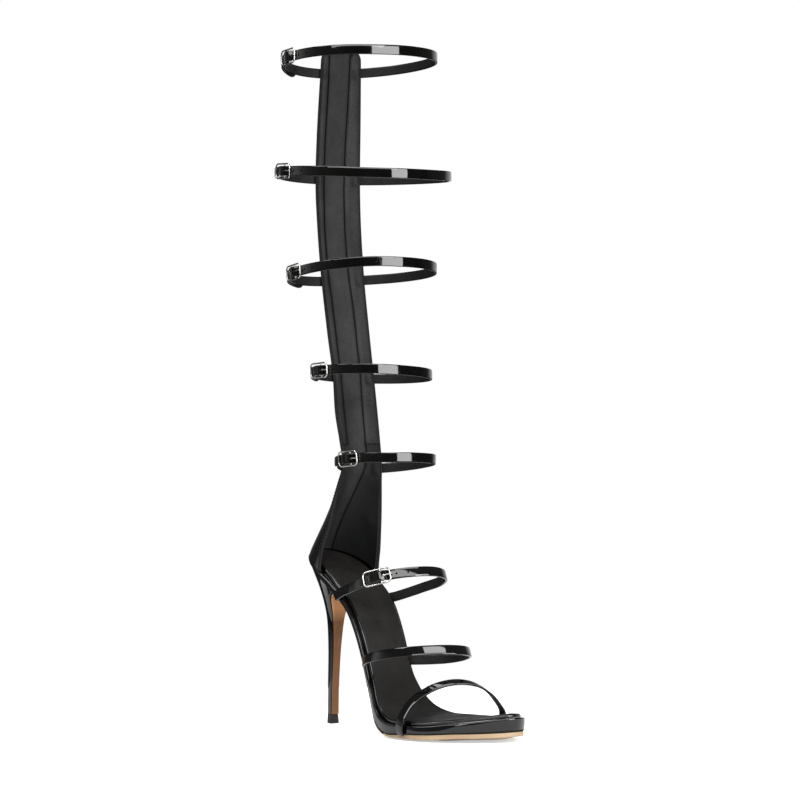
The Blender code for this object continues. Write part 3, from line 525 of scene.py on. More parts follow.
def strap_height(stations, angle):
    panel, outer, front, inner = stations
    mean = (panel + outer + front + inner) / 4
    twist = (panel + front - outer - inner) / 4
    turn = np.radians(angle - PANEL_ANGLE)
    slope = (panel - front) / 2 * np.cos(turn) + (outer - inner) / 2 * np.sin(turn)
    return mean + slope + twist * np.cos(2 * turn)


# ---------------------------------------------------------------- meshes


def piece(
    name, vertices, faces, materials, sharp=SHARP_ANGLE, merge=0.002, inner_faces=(), shade_and_tone=None
):
    """Mesh object from millimetre points; faces in inner_faces take the second material.

    shade_and_tone holds how much lighter (above 0) or darker each vertex of a lining is painted:
    painted shade along its seams, painted light and shade across its panels and patches of tone.
    """
    mesh = bpy.data.meshes.new(name)
    mesh.from_pydata((np.asarray(vertices, dtype=float) * MM).tolist(), [], faces)
    for material in materials:
        mesh.materials.append(material)
    if len(inner_faces):
        marks = np.zeros(len(faces), dtype=np.int32)
        marks[np.asarray(inner_faces)] = 1
        mesh.polygons.foreach_set("material_index", marks)
    if shade_and_tone is not None:
        mesh.attributes.new("shade_and_tone", "FLOAT", "POINT").data.foreach_set("value", np.ravel(shade_and_tone))
    shape = bmesh.new()
    shape.from_mesh(mesh)
    bmesh.ops.remove_doubles(shape, verts=shape.verts, dist=merge * MM)
    bmesh.ops.recalc_face_normals(shape, faces=shape.faces)
    shape.to_mesh(mesh)
    shape.free()
    mesh.shade_smooth()
    mesh.set_sharp_from_angle(angle=math.radians(sharp))
    item = bpy.data.objects.new(name, mesh)
    bpy.context.scene.collection.objects.link(item)
    return item


def grid_faces(rows, columns, start=0, wrap=False):
    """Quads of a grid of points stored row by row."""
    across = np.arange(columns if wrap else columns - 1)
    i, j = np.meshgrid(np.arange(rows - 1), across, indexing="ij")
    a, b = start + i * columns + j, start + i * columns + (j + 1) % columns
    return np.stack([a, b, b + columns, a + columns], axis=-1).reshape(-1, 4).tolist()


def tube_faces(count, size):
    """Faces of count rings of size points, with a cap at both ends."""
    last = (count - 1) * size
    caps = [list(range(size)), list(range(last, last + size))]
    return grid_faces(count, size, wrap=True) + caps


def torus_faces(count, size):
    """Faces of count rings of size points, the last joined to the first."""
    faces = grid_faces(count + 1, size, wrap=True)
    return [[k % (count * size) for k in face] for face in faces]


def loft(name, rings, materials, marked=(), **options):
    """Closed solid through rings; columns in marked take the second material."""
    rings = np.asarray(rings, dtype=float)
    count, size = rings.shape[:2]
    inner = [i * size + j for i in range(count - 1) for j in marked]
    faces = tube_faces(count, size)
    return piece(name, rings.reshape(-1, 3), faces, materials, inner_faces=inner, **options)


def join(name, parts, *materials):
    """One piece from several (vertices, faces) pairs."""
    vertices = []
    faces = []
    start = 0
    for points, polygons in parts:
        faces += [[start + k for k in polygon] for polygon in polygons]
        vertices.append(points)
        start += len(points)
    return piece(name, np.vstack(vertices), faces, materials, merge=0)


def boolean(item, tool, operation):
    step = item.modifiers.new(operation, "BOOLEAN")
    step.operation = operation
    step.solver = "EXACT"
    step.object = tool
    bpy.context.view_layer.update()
    graph = bpy.context.evaluated_depsgraph_get()
    mesh = bpy.data.meshes.new_from_object(item.evaluated_get(graph))
    item.modifiers.clear()
    item.data = mesh
    bpy.data.objects.remove(tool, do_unlink=True)
    mesh.shade_smooth()
    mesh.set_sharp_from_angle(angle=math.radians(SHARP_ANGLE))


def to_world(seat, points):
    """Local millimetre points placed by a 4x4 array."""
    return np.asarray(points, dtype=float) @ seat[:3, :3].T + seat[:3, 3]


def placed(seat, shape):
    return to_world(seat, shape[0]), shape[1]


def moved(seat, x=0, y=0, z=0):
    out = seat.copy()
    out[:3, 3] = to_world(seat, (x, y, z))
    return out


def seat_of(point, *axes):
    seat = np.eye(4)
    seat[:3, :3] = np.stack(axes, axis=1)
    seat[:3, 3] = point
    return seat


def prism(outline, half_depth, round_edge=0, axis_y=True):
    """Points and faces of an outline in local X and Z (or X and Y), with rounded rims."""
    outline = np.asarray(outline, dtype=float)
    inward = left_normals(outline)
    turn = np.sum(outline * np.roll(outline[:, ::-1] * (1, -1), -1, axis=0))
    inward = inward if turn < 0 else -inward
    arcs = np.linspace(0, math.pi / 2, 4) if round_edge else np.zeros(1)
    levels = []
    for side, arc in [(-1, arc) for arc in arcs] + [(1, arc) for arc in arcs[::-1]]:
        ring = outline + round_edge * (1 - math.sin(arc)) * inward
        depth = np.full(len(ring), side * (half_depth - round_edge * (1 - math.cos(arc))))
        order = (ring[:, 0], depth, ring[:, 1]) if axis_y else (ring[:, 0], ring[:, 1], depth)
        levels.append(np.stack(order, axis=1))
    return np.vstack(levels), tube_faces(len(levels), len(outline))


def round_outline(length, width, corner, steps=6):
    """Rectangle with round corners in two local axes."""
    line = []
    for quarter, (sx, sy) in enumerate(((1, 1), (-1, 1), (-1, -1), (1, -1))):
        for k in range(steps + 1):
            angle = math.radians(90 * quarter + 90 * k / steps)
            x = sx * (length / 2 - corner) + corner * math.cos(angle)
            line.append((x, sy * (width / 2 - corner) + corner * math.sin(angle)))
    return line


def circle(radius, steps=20):
    turn = np.arange(steps) * 2 * math.pi / steps
    return np.stack([radius * np.cos(turn), radius * np.sin(turn)], axis=1)


def rings_at(centre, first, second, along_first, along_second):
    """Rings round the points of a line, from each point's offsets in two directions."""
    return (
        centre[:, None, :]
        + along_first[:, :, None] * first[:, None, :]
        + along_second[:, :, None] * second[:, None, :]
    )


def round_rings(centre, sizes, first, second, sides):
    turn = np.arange(sides) * 2 * math.pi / sides
    along = (sizes[:, None] * wave(turn) for wave in (np.cos, np.sin))
    return rings_at(centre, first, second, *along)


def wire(points, radius, plane, sides, cyclic=False, ends=True):
    """Round tube along a line that lies in a plane; its end tapers to a blunt tip."""
    points = np.asarray(points, dtype=float)
    if cyclic:
        forward = np.roll(points, -1, axis=0) - np.roll(points, 1, axis=0)
    else:
        forward = np.gradient(points, axis=0)
    side = unit(np.cross(np.broadcast_to(plane, forward.shape), forward))
    sizes = np.full(len(points), radius)
    if ends and not cyclic:
        tip = unit(points[-1] - points[-2])
        points = np.vstack([points, points[-1] + 0.6 * radius * tip, points[-1] + radius * tip])
        side = np.vstack([side, side[-1:], side[-1:]])
        sizes = np.concatenate([sizes, [0.75 * radius, 0.25 * radius]])
    rings = round_rings(points, sizes, side, np.broadcast_to(plane, points.shape), sides)
    faces = (torus_faces if cyclic else tube_faces)(len(rings), sides)
    return rings.reshape(-1, 3), faces


def stitches(points, normals, length, radius, pitch):
    """Short threads along a line, each dipping into the surface at both ends."""
    places = run_length(points)
    parts = []
    for start in np.arange(pitch * 0.5, places[-1] - length, pitch):
        spots = start + length * np.array([0, 0.2, 0.5, 0.8, 1])
        centre = read_rows(spots, places, points)
        normal = unit(read_rows(spots, places, normals))
        side = unit(np.cross(normal, np.gradient(centre, axis=0)))
        centre = centre + (radius * np.array([-0.9, 0.2, 0.6, 0.2, -0.9]))[:, None] * normal
        sizes = radius * np.array([0.35, 0.9, 1, 0.9, 0.35])
        rings = round_rings(centre, sizes, side, normal, 6)
        parts.append((rings.reshape(-1, 3), tube_faces(len(spots), 6)))
    return parts


# ---------------------------------------------------------------- materials


class Nodes:
    """Short ways to add nodes to one shader tree."""

    def __init__(self, tree):
        self.tree = tree

    def add(self, kind, inputs=None, **settings):
        """New shader node; inputs maps socket names to a value or to an output to link."""
        node = self.tree.nodes.new("ShaderNode" + kind)
        for key, value in settings.items():
            setattr(node, key, value)
        for key, value in (inputs or {}).items():
            if isinstance(value, bpy.types.NodeSocket):
                self.tree.links.new(value, node.inputs[key])
            else:
                node.inputs[key].default_value = value
        return node

    def noise(self, scale, detail=3, roughness=0.5, stretch=None):
        vector = self.add("TexCoord").outputs["Object"]
        if stretch:
            vector = self.add("Mapping", {"Vector": vector, "Scale": stretch}).outputs["Vector"]
        inputs = {"Vector": vector, "Scale": scale, "Detail": detail, "Roughness": roughness}
        return self.add("TexNoise", inputs).outputs["Fac"]

    def spread(self, value, low=0, high=1, start=0.3, end=0.7):
        """Map a texture's middle range to low and high."""
        sockets = ("Value", "From Min", "From Max", "To Min", "To Max")
        inputs = dict(zip(sockets, (value, start, end, low, high)))
        return self.add("MapRange", inputs).outputs["Result"]

    def blend(self, factor, first, second):
        colours = [k if isinstance(k, bpy.types.NodeSocket) else (*k, 1) for k in (first, second)]
        inputs = {"Factor": factor, 6: colours[0], 7: colours[1]}
        return self.add("Mix", inputs, data_type="RGBA").outputs[2]


class Finish(Nodes):
    """A new material with some sockets of its shader set."""

    def __init__(self, name, sockets):
        self.material = bpy.data.materials.new(name)
        self.material.use_nodes = True
        super().__init__(self.material.node_tree)
        self.shader = self.tree.nodes["Principled BSDF"]
        for socket, value in sockets.items():
            self.shader.inputs[socket].default_value = value

    def done(self, links, *bumps):
        """Link outputs to the shader, then bumps: (height output, strength, distance in m)."""
        normal = None
        for height, strength, distance in bumps:
            inputs = {"Height": height, "Strength": strength, "Distance": distance}
            if normal:
                inputs["Normal"] = normal
            normal = self.add("Bump", inputs).outputs["Normal"]
        if normal:
            links["Normal"] = normal
        for socket, output in links.items():
            self.tree.links.new(output, self.shader.inputs[socket])
        return self.material


def make_patent():
    m = Finish("patent_leather", {"IOR": 1.5})
    tone = m.blend(m.spread(m.noise(45)), (0.0014, 0.0013, 0.0013), (0.003, 0.0028, 0.0026))
    roughness = m.spread(m.noise(700), 0.03, 0.075)
    bumps = ((m.noise(60, 2), 0.05, 0.001), (m.noise(420, 2), 0.03, 0.0003))
    return m.done({"Base Color": tone, "Roughness": roughness}, *bumps)


def make_leather(name, dark, light, roughness=0.66, grain=1500, bump=0.3, gloss=0.25):
    """Matt grained leather: cells, a broad cloud of tone, fine pores, and the painted shade,
    painted light and lighter and darker patches held in the shade_and_tone attribute.
    """
    m = Finish(name, {"IOR": 1.45, "Specular IOR Level": gloss})
    place = m.add("TexCoord").outputs["Object"]
    cells = m.add("TexVoronoi", {"Vector": place, "Scale": grain}, feature="F1")
    cloud = m.noise(95, 5, 0.6, (1, 1, 0.3))
    tone = m.blend(m.spread(cloud), dark, light)
    pores = m.spread(m.noise(grain * 0.45, 4, 0.65), 0.7, 0, 0.3, 0.6)
    deep = m.blend(pores, tone, [0.55 * k for k in dark])
    # painted shade and light of the linings, with patches of tone, read from the mesh attribute
    shade_and_tone = m.add("Attribute", attribute_name="shade_and_tone").outputs["Fac"]
    strength = m.add("Math", {0: 3, 1: shade_and_tone}, operation="POWER").outputs[0]
    colour = m.add("VectorMath", {0: deep, "Scale": strength}, operation="SCALE").outputs[0]
    rough = m.spread(m.noise(90), roughness - 0.06, roughness + 0.08)
    bumps = ((cells.outputs["Distance"], bump, 0.00012), (cloud, 0.25, 0.0006))
    return m.done({"Base Color": colour, "Roughness": rough}, *bumps)


def make_streaked(name, sockets, streak, cloud, tones, roughness, bump, deep=None, painted_top_light=None):
    """Leather fibres or metal scratches over a cloud of two tones.

    deep gives the strength and the tone of what lies between the streaks; painted_top_light gives
    two heights in metres and the lighter tone that takes over between them: painted light on the
    upper end of the piece.
    """
    m = Finish(name, sockets)
    streaks = m.noise(*streak)
    colour = m.blend(m.spread(m.noise(*cloud)), *tones)
    if deep:
        colour = m.blend(m.spread(streaks, 0, deep[0]), colour, deep[1])
    # painted light: a lighter tone up the piece's height
    if painted_top_light:
        place = m.add("TexCoord").outputs["Object"]
        height = m.add("SeparateXYZ", {0: place}).outputs["Z"]
        colour = m.blend(m.spread(height, 0, 1, *painted_top_light[0]), colour, painted_top_light[1])
    rough = m.spread(streaks, *roughness)
    return m.done({"Base Color": colour, "Roughness": rough}, (streaks, *bump))


def make_plain(name, dark, light, roughness, scale, gloss=0.5):
    """Moulded rubber, nylon or thread: speckled tone, roughness and a fine bump."""
    m = Finish(name, {"IOR": 1.48, "Specular IOR Level": gloss})
    speckle = m.noise(scale, 4, 0.6)
    rough = m.spread(speckle, roughness - 0.07, roughness + 0.07)
    tone = m.blend(m.spread(speckle), dark, light)
    return m.done({"Base Color": tone, "Roughness": rough}, (speckle, 0.25, 0.0001))


def make_tape():
    """Woven zip tape: two crossed sets of fine ribs."""
    m = Finish("zip_tape", {"IOR": 1.45, "Roughness": 0.8})
    ribs = []
    for axis, scale in (("Z", 480), ("Y", 620)):
        inputs = {"Vector": m.add("TexCoord").outputs["Object"], "Scale": scale, "Distortion": 0.4}
        ribs.append(m.add("TexWave", inputs, bands_direction=axis).outputs["Fac"])
    weave = m.add("Math", dict(enumerate(ribs)), operation="MULTIPLY").outputs[0]
    tone = m.blend(weave, (0.006, 0.006, 0.007), (0.03, 0.03, 0.032))
    return m.done({"Base Color": tone}, (weave, 0.5, 0.00015))


PATENT = make_patent()
LINING = make_leather("shaft_lining", (0.0062, 0.0062, 0.006), (0.0135, 0.0135, 0.0132))
STRIP_LINING = make_leather("strip_lining", (0.0075, 0.0075, 0.0073), (0.0155, 0.0155, 0.0152))
# A darker copy of the lining for the heel cup's inner part: painted shade of the cup's inside,
# partly also a leather of its own below the cup seam.
CUP_LINING = make_leather(
    "cup_lining", (0.0022, 0.0024, 0.0026), (0.0046, 0.005, 0.0052), bump=0.2
)
OUTER_CUP_LINING = make_leather(
    "outer_cup_lining", (0.007, 0.007, 0.0068), (0.012, 0.012, 0.0117), bump=0.2
)
# Near-black copy of the lining for the base sheet under the panels: painted shade that shows as
# dark seams in the gaps between them.
SEAM_SHADE_LINING = make_leather("seam_shade_lining", [0.0012] * 3, [0.002] * 3, 0.75, bump=0.2, gloss=0.1)
STRAP_LINING = make_leather(
    "strap_lining", (0.0038, 0.0036, 0.0035), (0.008, 0.0076, 0.0073), grain=1900, bump=0.45
)
SOCK = make_leather(
    "insole_leather", (0.005, 0.0044, 0.004), (0.0098, 0.0088, 0.0082), 0.55, 1300, 0.25
)
SOLE_LEATHER = make_streaked(
    "tan_sole_leather",
    {"IOR": 1.45},
    (900, 4, 0.6, (0.25, 1, 3)),
    (30, 4),
    ((0.29, 0.205, 0.125), (0.385, 0.29, 0.185)),
    (0.36, 0.52),
    (0.25, 0.0001),
    deep=(0.6, (0.22, 0.14, 0.072)),
)
BREAST_LEATHER = make_streaked(
    "tan_breast_leather",
    {"IOR": 1.45},
    (800, 4, 0.6, (1, 1, 0.2)),
    (40, 4),
    ((0.165, 0.062, 0.016), (0.25, 0.1, 0.028)),
    (0.3, 0.44),
    (0.2, 0.0001),
    deep=(0.5, (0.13, 0.052, 0.018)),
    # painted light on the top of the breast cover, where the light falls
    painted_top_light=((0.075, 0.086), (0.62, 0.29, 0.12)),
)
SILVER = make_streaked(
    "polished_silver",
    {"Metallic": 1},
    (2600, 3, 0.6, (1, 1, 0.15)),
    (320,),
    ((0.4, 0.39, 0.37), (0.62, 0.61, 0.58)),
    (0.2, 0.34),
    (0.08, 0.00005),
)
RUBBER = make_plain("tip_rubber", (0.003, 0.0025, 0.002), (0.008, 0.006, 0.005), 0.5, 900)
EDGE_PAINT = make_plain("edge_paint", [0.006] * 3, [0.012] * 3, 0.8, 700, gloss=0.12)
NYLON = make_plain("zip_nylon", (0.01, 0.01, 0.011), (0.022, 0.022, 0.024), 0.35, 1500)
THREAD = make_plain("black_thread", [0.003] * 3, [0.007] * 3, 0.6, 3000)
TAPE = make_tape()


def carried(item, slot, *nodes, body="sandal"):
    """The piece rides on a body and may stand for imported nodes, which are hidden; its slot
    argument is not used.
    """
    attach(item, body)
    if nodes:
        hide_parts(*nodes)


# ---------------------------------------------------------------- sole and heel


def sole_solid(
    name, inset, top, bottom, rounds, materials, first=0, crown=0, belly=0, side=(), columns=14
):
    """Sole layer with rounded rims, a top crowned across the foot and a bellied tread.

    side gives the shares of the height where the side's bulging profile is cut. With it
    the lower rim takes the second material; without it the rim behind the forefoot does.
    """
    arcs = np.linspace(0, math.pi / 2, 7)

    def rim(radius, share):
        turns = arcs[::-1] if share else arcs
        return [(radius * (1 - math.sin(a)), radius * (1 - math.cos(a)), share) for a in turns]

    def drawn_in(share):
        if not side:
            return inset
        return lambda x: inset(x) + SIDE_BULGE * (share - look_up(SIDE_WIDEST, x)) ** 2

    loops = []
    levels = rim(rounds[0], 0) + [(0, 0, share) for share in side[1:-1]] + rim(rounds[1], 1)
    for draw, drop, share in levels:
        outer, inner = sole_edges(drawn_in(share), draw)
        loop = np.vstack([outer[first:], inner[max(first, 1) : -1][::-1]])
        high, low = top(loop[:, 0]), bottom(loop[:, 0])
        depth = high + share * (low - high) + (-drop if share else drop)
        loops.append(np.column_stack([loop, layer_height(loop[:, 0], depth)]))
    size = len(loops[0])
    vertices = [np.vstack(loops)]
    faces = grid_faces(len(loops), size, wrap=True)
    painted = []
    if side:
        painted = range(len(faces) - size * len(arcs), len(faces))
    elif len(materials) > 1:
        middles = vertices[0][np.array(faces), 0].mean(axis=1)
        painted = np.flatnonzero(middles < TAN_EDGE_START)
    start = len(vertices[0])
    shares = np.linspace(0, 1, columns + 1)
    dome = 1 - np.abs(2 * shares - 1) ** DOME_POWER
    for lower, draw in enumerate(rounds):
        outer, inner = (edge[first:] for edge in sole_edges(drawn_in(lower), draw))
        across = outer[:, None, :] + shares[None, :, None] * (inner - outer)[:, None, :]
        x = across[..., 0]
        width = np.linalg.norm(inner - outer, axis=1)[:, None]
        reach = np.minimum(shares, 1 - shares)[None, :] * width
        sag = belly * ease(x, BELLY_START, BELLY_END) * ease(reach, 0, BELLY_REACH)
        depth = bottom(x) + sag if lower else top(x) - crown * dome
        vertices.append(np.dstack([across, layer_height(x, depth)]).reshape(-1, 3))
        faces += grid_faces(*x.shape, start)
        start += x.size
    return piece(name, np.vstack(vertices), faces, materials, inner_faces=painted)


def make_soles():
    top = flat(SOCK_THICKNESS * 0.8)
    insole = sole_solid(
        "insole_rim", insole_inset, top, flat(INSOLE_THICKNESS), (RIM_ROUND, 0.5), [PATENT]
    )
    carried(insole, "insole_black", "insole")
    sock = sole_solid(
        "insole_sock",
        lambda x: insole_inset(x) + SOCK_INSET,
        flat(0),
        flat(SOCK_THICKNESS * 1.6),
        (0.35, 0.05),
        [SOCK],
        crown=SOCK_CROWN,
        columns=28,
    )
    carried(sock, "insole_black")
    platform = sole_solid(
        "platform_cover",
        flat(0),
        platform_top,
        platform_bottom,
        (0.9, 0.8),
        [PATENT, EDGE_PAINT],
        side=SIDE_SHARES,
    )
    carried(platform, "patent_black", "platform")
    outsole = sole_solid(
        "outsole_leather",
        flat(OUTSOLE_INSET),
        outsole_top,
        outsole_bottom,
        (0.15, 0.45),
        [SOLE_LEATHER, EDGE_PAINT],
        first=(len(SEAT_ANGLES) - 1) * OUTLINE_STEPS,
        belly=TREAD_BELLY,
        columns=24,
    )
    carried(outsole, "sole_leather", "outsole")


def heel_ring(row, steps=40):
    height, back, breast, half_width, tilt = row
    turn = np.linspace(0, math.pi, steps + 1)
    x = breast - (breast - back) * np.sin(turn) ** HEEL_BACK_ROUNDNESS
    y = half_width * np.sign(np.cos(turn)) * np.abs(np.cos(turn)) ** HEEL_SIDE_ROUNDNESS
    front = np.linspace(-1, 1, 9)[1:-1] * half_width
    x = np.concatenate([x, np.full(len(front), breast)])
    return np.stack([x, np.concatenate([y, front]), height + tilt * seat_rise(x)], axis=1)


def make_heel():
    rows = smooth_rows(HEEL_SECTIONS, 10)
    heel = loft("heel_cover", [heel_ring(row) for row in rows], [PATENT])
    carried(heel, "patent_black", "heel")
    rings = []
    cut = 0.3 * BREAST_CORNER
    for height, _, breast, half_width, tilt in rows[rows[:, 0] < BREAST_SHARES[-1][0]]:
        half = half_width * float(look_up(BREAST_SHARES, height))
        inside = breast + GAP
        outside = inside + BREAST_THICKNESS
        side = [(inside, -half), (outside - BREAST_CORNER, -half), (outside - cut, -half + cut)]
        flat_part = np.linspace(-half + BREAST_CORNER, half - BREAST_CORNER, 9)
        line = side + [(outside, y) for y in flat_part] + [(x, -y) for x, y in side[::-1]]
        line = np.array(line)
        rings.append(np.column_stack([line, height + tilt * seat_rise(line[:, 0])]))
    breast = loft("heel_breast_leather", rings, [BREAST_LEATHER], sharp=50)
    carried(breast, "breast_leather", "heel_breast_cover")
    _, back, breast, half_width, _ = HEEL_SECTIONS[0]
    rings = [
        heel_ring((height, back - flare, breast + flare, half_width + flare, 0))
        for height, flare in LIFT_PROFILE
    ]
    lift = loft("heel_top_lift", rings, [RUBBER])
    carried(lift, "tip_rubber", "top_lift")


# ---------------------------------------------------------------- upper and linings


def rounding(distance, radius):
    return np.sqrt(1 - (1 - np.clip(distance / radius, 0, 1)) ** 2)


def sheet_levels(low, high):
    count = int((high - NEAR_TOP[-1] - low) / LEVEL_STEP)
    evenly = np.linspace(low, high - NEAR_TOP[-1] - 2, count)
    return np.concatenate([evenly, high - np.array(NEAR_TOP)[::-1]])


def edge_angles(inset):
    """Function of the level: the panel's two front edges as angles, drawn in by inset."""

    def span(level):
        drawn = as_angle(level, inset)
        return leg_column(level, 6) - drawn, leg_column(level, 7) + drawn

    return span


def lining_shade_and_tone(reach, level, angle):
    """Painted tone of a lining: painted shade along its edges and seams, painted light and shade
    across its panels, with soft lighter and darker patches.
    """
    # painted shade along every edge of a sheet, where the seams between the panels lie
    tone = -0.9 * bell(reach, 1.3)
    beside = as_distance(level, angle - look_up(STRIP_LINE, level))
    from_edge = as_distance(level, leg_column(level, 6) - angle)
    outer = np.maximum(beside - STRIP_HALF_WIDTH, 0)
    inner = np.maximum(-beside - STRIP_HALF_WIDTH, 0)
    # painted shade across the strip and beside the seam on the outer panel; painted light on the
    # ridge beside the seam on the inner panel and near the outer front edge
    strip = -0.26 * beside / STRIP_HALF_WIDTH
    panel = np.where(outer > 0, 0.1 - 0.55 * bell(outer, 3.2), strip)
    panel = np.where(inner > 0, 0.25 + 0.4 * bell(inner - 1.8, 2.6), panel)
    panel = panel + 0.4 * bell(from_edge - 3, 1.6) * (outer > 0)
    tone = tone + panel * ease(level, CUP_SEAM - 3, CUP_SEAM + 6)
    for height, middle, half_height, half_width, amount in TONE_PATCHES:
        across = as_distance(level, angle - middle) / half_width
        tone = tone + amount * bell(np.hypot((level - height) / half_height, across), 1)
    return tone


def sheet(name, low, high, corner, span, faces_out, materials, columns=40):
    """Thin closed sheet on the leg surface.

    span gives its outer and inner edge at a level before its top corners are rounded;
    faces_out(distance from the edge, level, angle) gives the outer and inner stand-off.
    """
    levels = sheet_levels(low, high)
    outer, inner = span(levels)
    below = np.clip(high - levels, 0, corner)
    cut = corner - np.sqrt(np.maximum(corner**2 - (corner - below) ** 2, 0))
    width = np.maximum(as_distance(levels, outer - inner) - 2 * cut, 0.01)
    limit = np.minimum(NEAR_EDGE[-1], width / 2.2)
    start = np.array(NEAR_EDGE)[None, :] * (limit / NEAR_EDGE[-1])[:, None]
    middle = np.linspace(0, 1, columns)[1:-1]
    centre = limit[:, None] + middle[None, :] * (width - 2 * limit)[:, None]
    distance = np.hstack([start, centre, width[:, None] - start[:, ::-1]])
    angle = inner[:, None] + as_angle(levels[:, None], cut[:, None] + distance)
    side = np.minimum(distance, width[:, None] - distance) + cut[:, None]
    drop = (high - levels)[:, None] + 0 * side
    in_corner = (side < corner) & (drop < corner)
    round_edge = corner - np.hypot(corner - side, corner - drop)
    reach = np.maximum(np.where(in_corner, round_edge, np.minimum(side, drop)), 0)
    level = levels[:, None] + 0 * side
    sides = [leg(level, angle, off).reshape(-1, 3) for off in faces_out(reach, level, angle)]
    rows, size = angle.shape
    back = rows * size
    faces = grid_faces(rows, size) + grid_faces(rows, size, back)
    faces += [[j, j + 1, back + j + 1, back + j] for j in range(size - 1)]
    tone = np.stack([lining_shade_and_tone(reach, level, angle)] * 2)
    rim = ()
    if len(materials) > 1:
        near_edge = np.concatenate([reach.reshape(-1)] * 2) < RIM_REACH
        rim = [k for k, face in enumerate(faces) if near_edge[face].all()]
    return piece(
        name, np.vstack(sides), faces, materials, sharp=60, inner_faces=rim, shade_and_tone=tone
    )


def creases(level, angle):
    """Inward depth of the listed creases, each a soft trough or ridge along a segment."""
    depth = 0 * level
    for level_0, angle_0, level_1, angle_1, deep, wide in CREASES:
        across, along = as_distance(level, angle_1 - angle_0), level_1 - level_0
        x, y = as_distance(level, angle - angle_0), level - level_0
        share = np.clip((x * across + y * along) / (across**2 + along**2), 0, 1)
        away = np.hypot(x - share * across, y - share * along)
        depth = depth + deep * bell(away, wide) * (0.25 + 3 * share * (1 - share))
    return depth


def strap_lumps(level, angle, span):
    """How far the lining stands in where a strap's end lies behind it."""
    outer, inner = span(level)
    lump = 0 * level
    for _, *stations, _, _, _, _, _ in SHAFT_STRAPS:
        off = np.abs(level - strap_height(stations, angle))
        across = 1 - ease(off, STRAP_WIDTH / 2 - 1.4, STRAP_WIDTH / 2 + 2.2)
        ends = (angle - inner, 4.5, 8.5, 1.6), (outer - angle, 3, 6, 0.9)
        for from_edge, near, far, high in ends:
            reach = as_distance(level, from_edge)
            lump = lump + high * across * (1 - ease(reach, near, far))
    return lump


def skin(thickness, span):
    """Stand-offs of a lining whose edges are rounded and which bulges over strap ends."""

    def faces_out(reach, level, angle):
        lift = thickness * rounding(reach, min(thickness, 0.5))
        base = -WALL + 0.1
        lump = strap_lumps(level, angle, span) * ease(reach, 0, 2)
        return base + 0 * reach, base - lift - lump - creases(level, angle)

    return faces_out


def make_upper():
    whole = edge_angles(0)
    inset = edge_angles(LINING_INSET)
    half = WALL / 2
    top = UPPER_TOP - LINING_INSET
    corner = UPPER_CORNER - LINING_INSET

    def wall(reach, level, angle):
        thick = half * rounding(reach, half)
        return -half + thick, -half - thick

    def beside(line, distance):
        """The angle at a distance to the outer side of a line inside the upper."""
        return lambda level: look_up(line, level) + as_angle(level, distance)

    def outer_part(line, distance):
        return lambda level: (inset(level)[0], beside(line, distance)(level))

    def inner_part(line, distance):
        return lambda level: (beside(line, -distance)(level), inset(level)[1])

    def strip(level):
        wide = as_angle(level, STRIP_HALF_WIDTH)
        middle = look_up(STRIP_LINE, level)
        return middle + wide, middle - wide

    shell = sheet(
        "upper_shell", UPPER_LOW, UPPER_TOP, UPPER_CORNER, whole, wall, [PATENT, EDGE_PAINT], 56
    )
    carried(shell, "patent_black", "upper")
    low = UPPER_LOW + LINING_RISE
    above = CUP_SEAM + CUP_GAP / 2
    below = CUP_SEAM - CUP_GAP / 2
    strip_side = STRIP_HALF_WIDTH + SEAM_WIDTH
    seam = SEAM_WIDTH / 2
    side = SIDE_THICKNESS
    # The base sheet's near-black finish is painted shade in the seams between the panels.
    for name, start, high, round_corner, span, thickness, material, columns in (
        ("base", low, top, corner, inset, LINING_THICKNESS, SEAM_SHADE_LINING, 44),
        ("shaft_outer", above, top, corner, outer_part(STRIP_LINE, strip_side), side, LINING, 20),
        ("shaft_inner", above, top, corner, inner_part(STRIP_LINE, strip_side), side, LINING, 20),
        # the cup's inner part takes the darker lining that paints the cup's shade
        ("cup_inner", low, below, 0.4, inner_part(CUP_CURVE, seam), side, CUP_LINING, 34),
        ("cup_outer", low, below, 0.4, outer_part(CUP_CURVE, seam), side, OUTER_CUP_LINING, 24),
        ("strip", STRIP_LOW, top - 0.4, 1.2, strip, STRIP_THICKNESS, STRIP_LINING, 22),
    ):
        faces_out = skin(thickness, whole)
        item = sheet(
            f"lining_{name}", start, high, round_corner, span, faces_out, [material], columns
        )
        carried(item, "insole_black")


# ---------------------------------------------------------------- straps and buckles


class Band:
    """A line that a strap follows, with its normals and width directions."""

    def __init__(self, points, normals, widths, angles=None, start=0):
        self.tables = points, normals, widths
        self.angles = angles
        self.places = run_length(points)
        self.places -= self.places[start]

    def place(self, angle):
        return float(np.interp(angle, self.angles, self.places))

    def at(self, place):
        point, normal, width = (read_rows(place, self.places, rows) for rows in self.tables)
        return point, unit(normal), unit(width)

    def matrix(self, place):
        point, normal, width = self.at(place)
        along = unit(np.cross(width, normal))
        return seat_of(point, along, unit(np.cross(normal, along)), normal)


def shaft_band(stations, stray, bump):
    """Line round the leg; the strap stands more upright than the leg surface behind it."""
    angles = np.arange(-44, 345, 1)
    points, normals, _ = leg_frame(strap_height(stations, angles), angles)
    shares = np.clip((angles - STRAY_CENTRE) / STRAY_REACH, -1, 1)
    off = stray * np.sin(math.pi * shares) * (1 - shares**2) + bump * (1 - shares**2) ** 8
    points = points + off[:, None] * normals
    tangents = unit(np.gradient(points, axis=0))
    normals = unit(np.cross(tangents, (0, 0, 1)) + normals * (0, 0, STRAP_UPRIGHT))
    return Band(points, normals, unit(np.cross(normals, tangents)), angles)


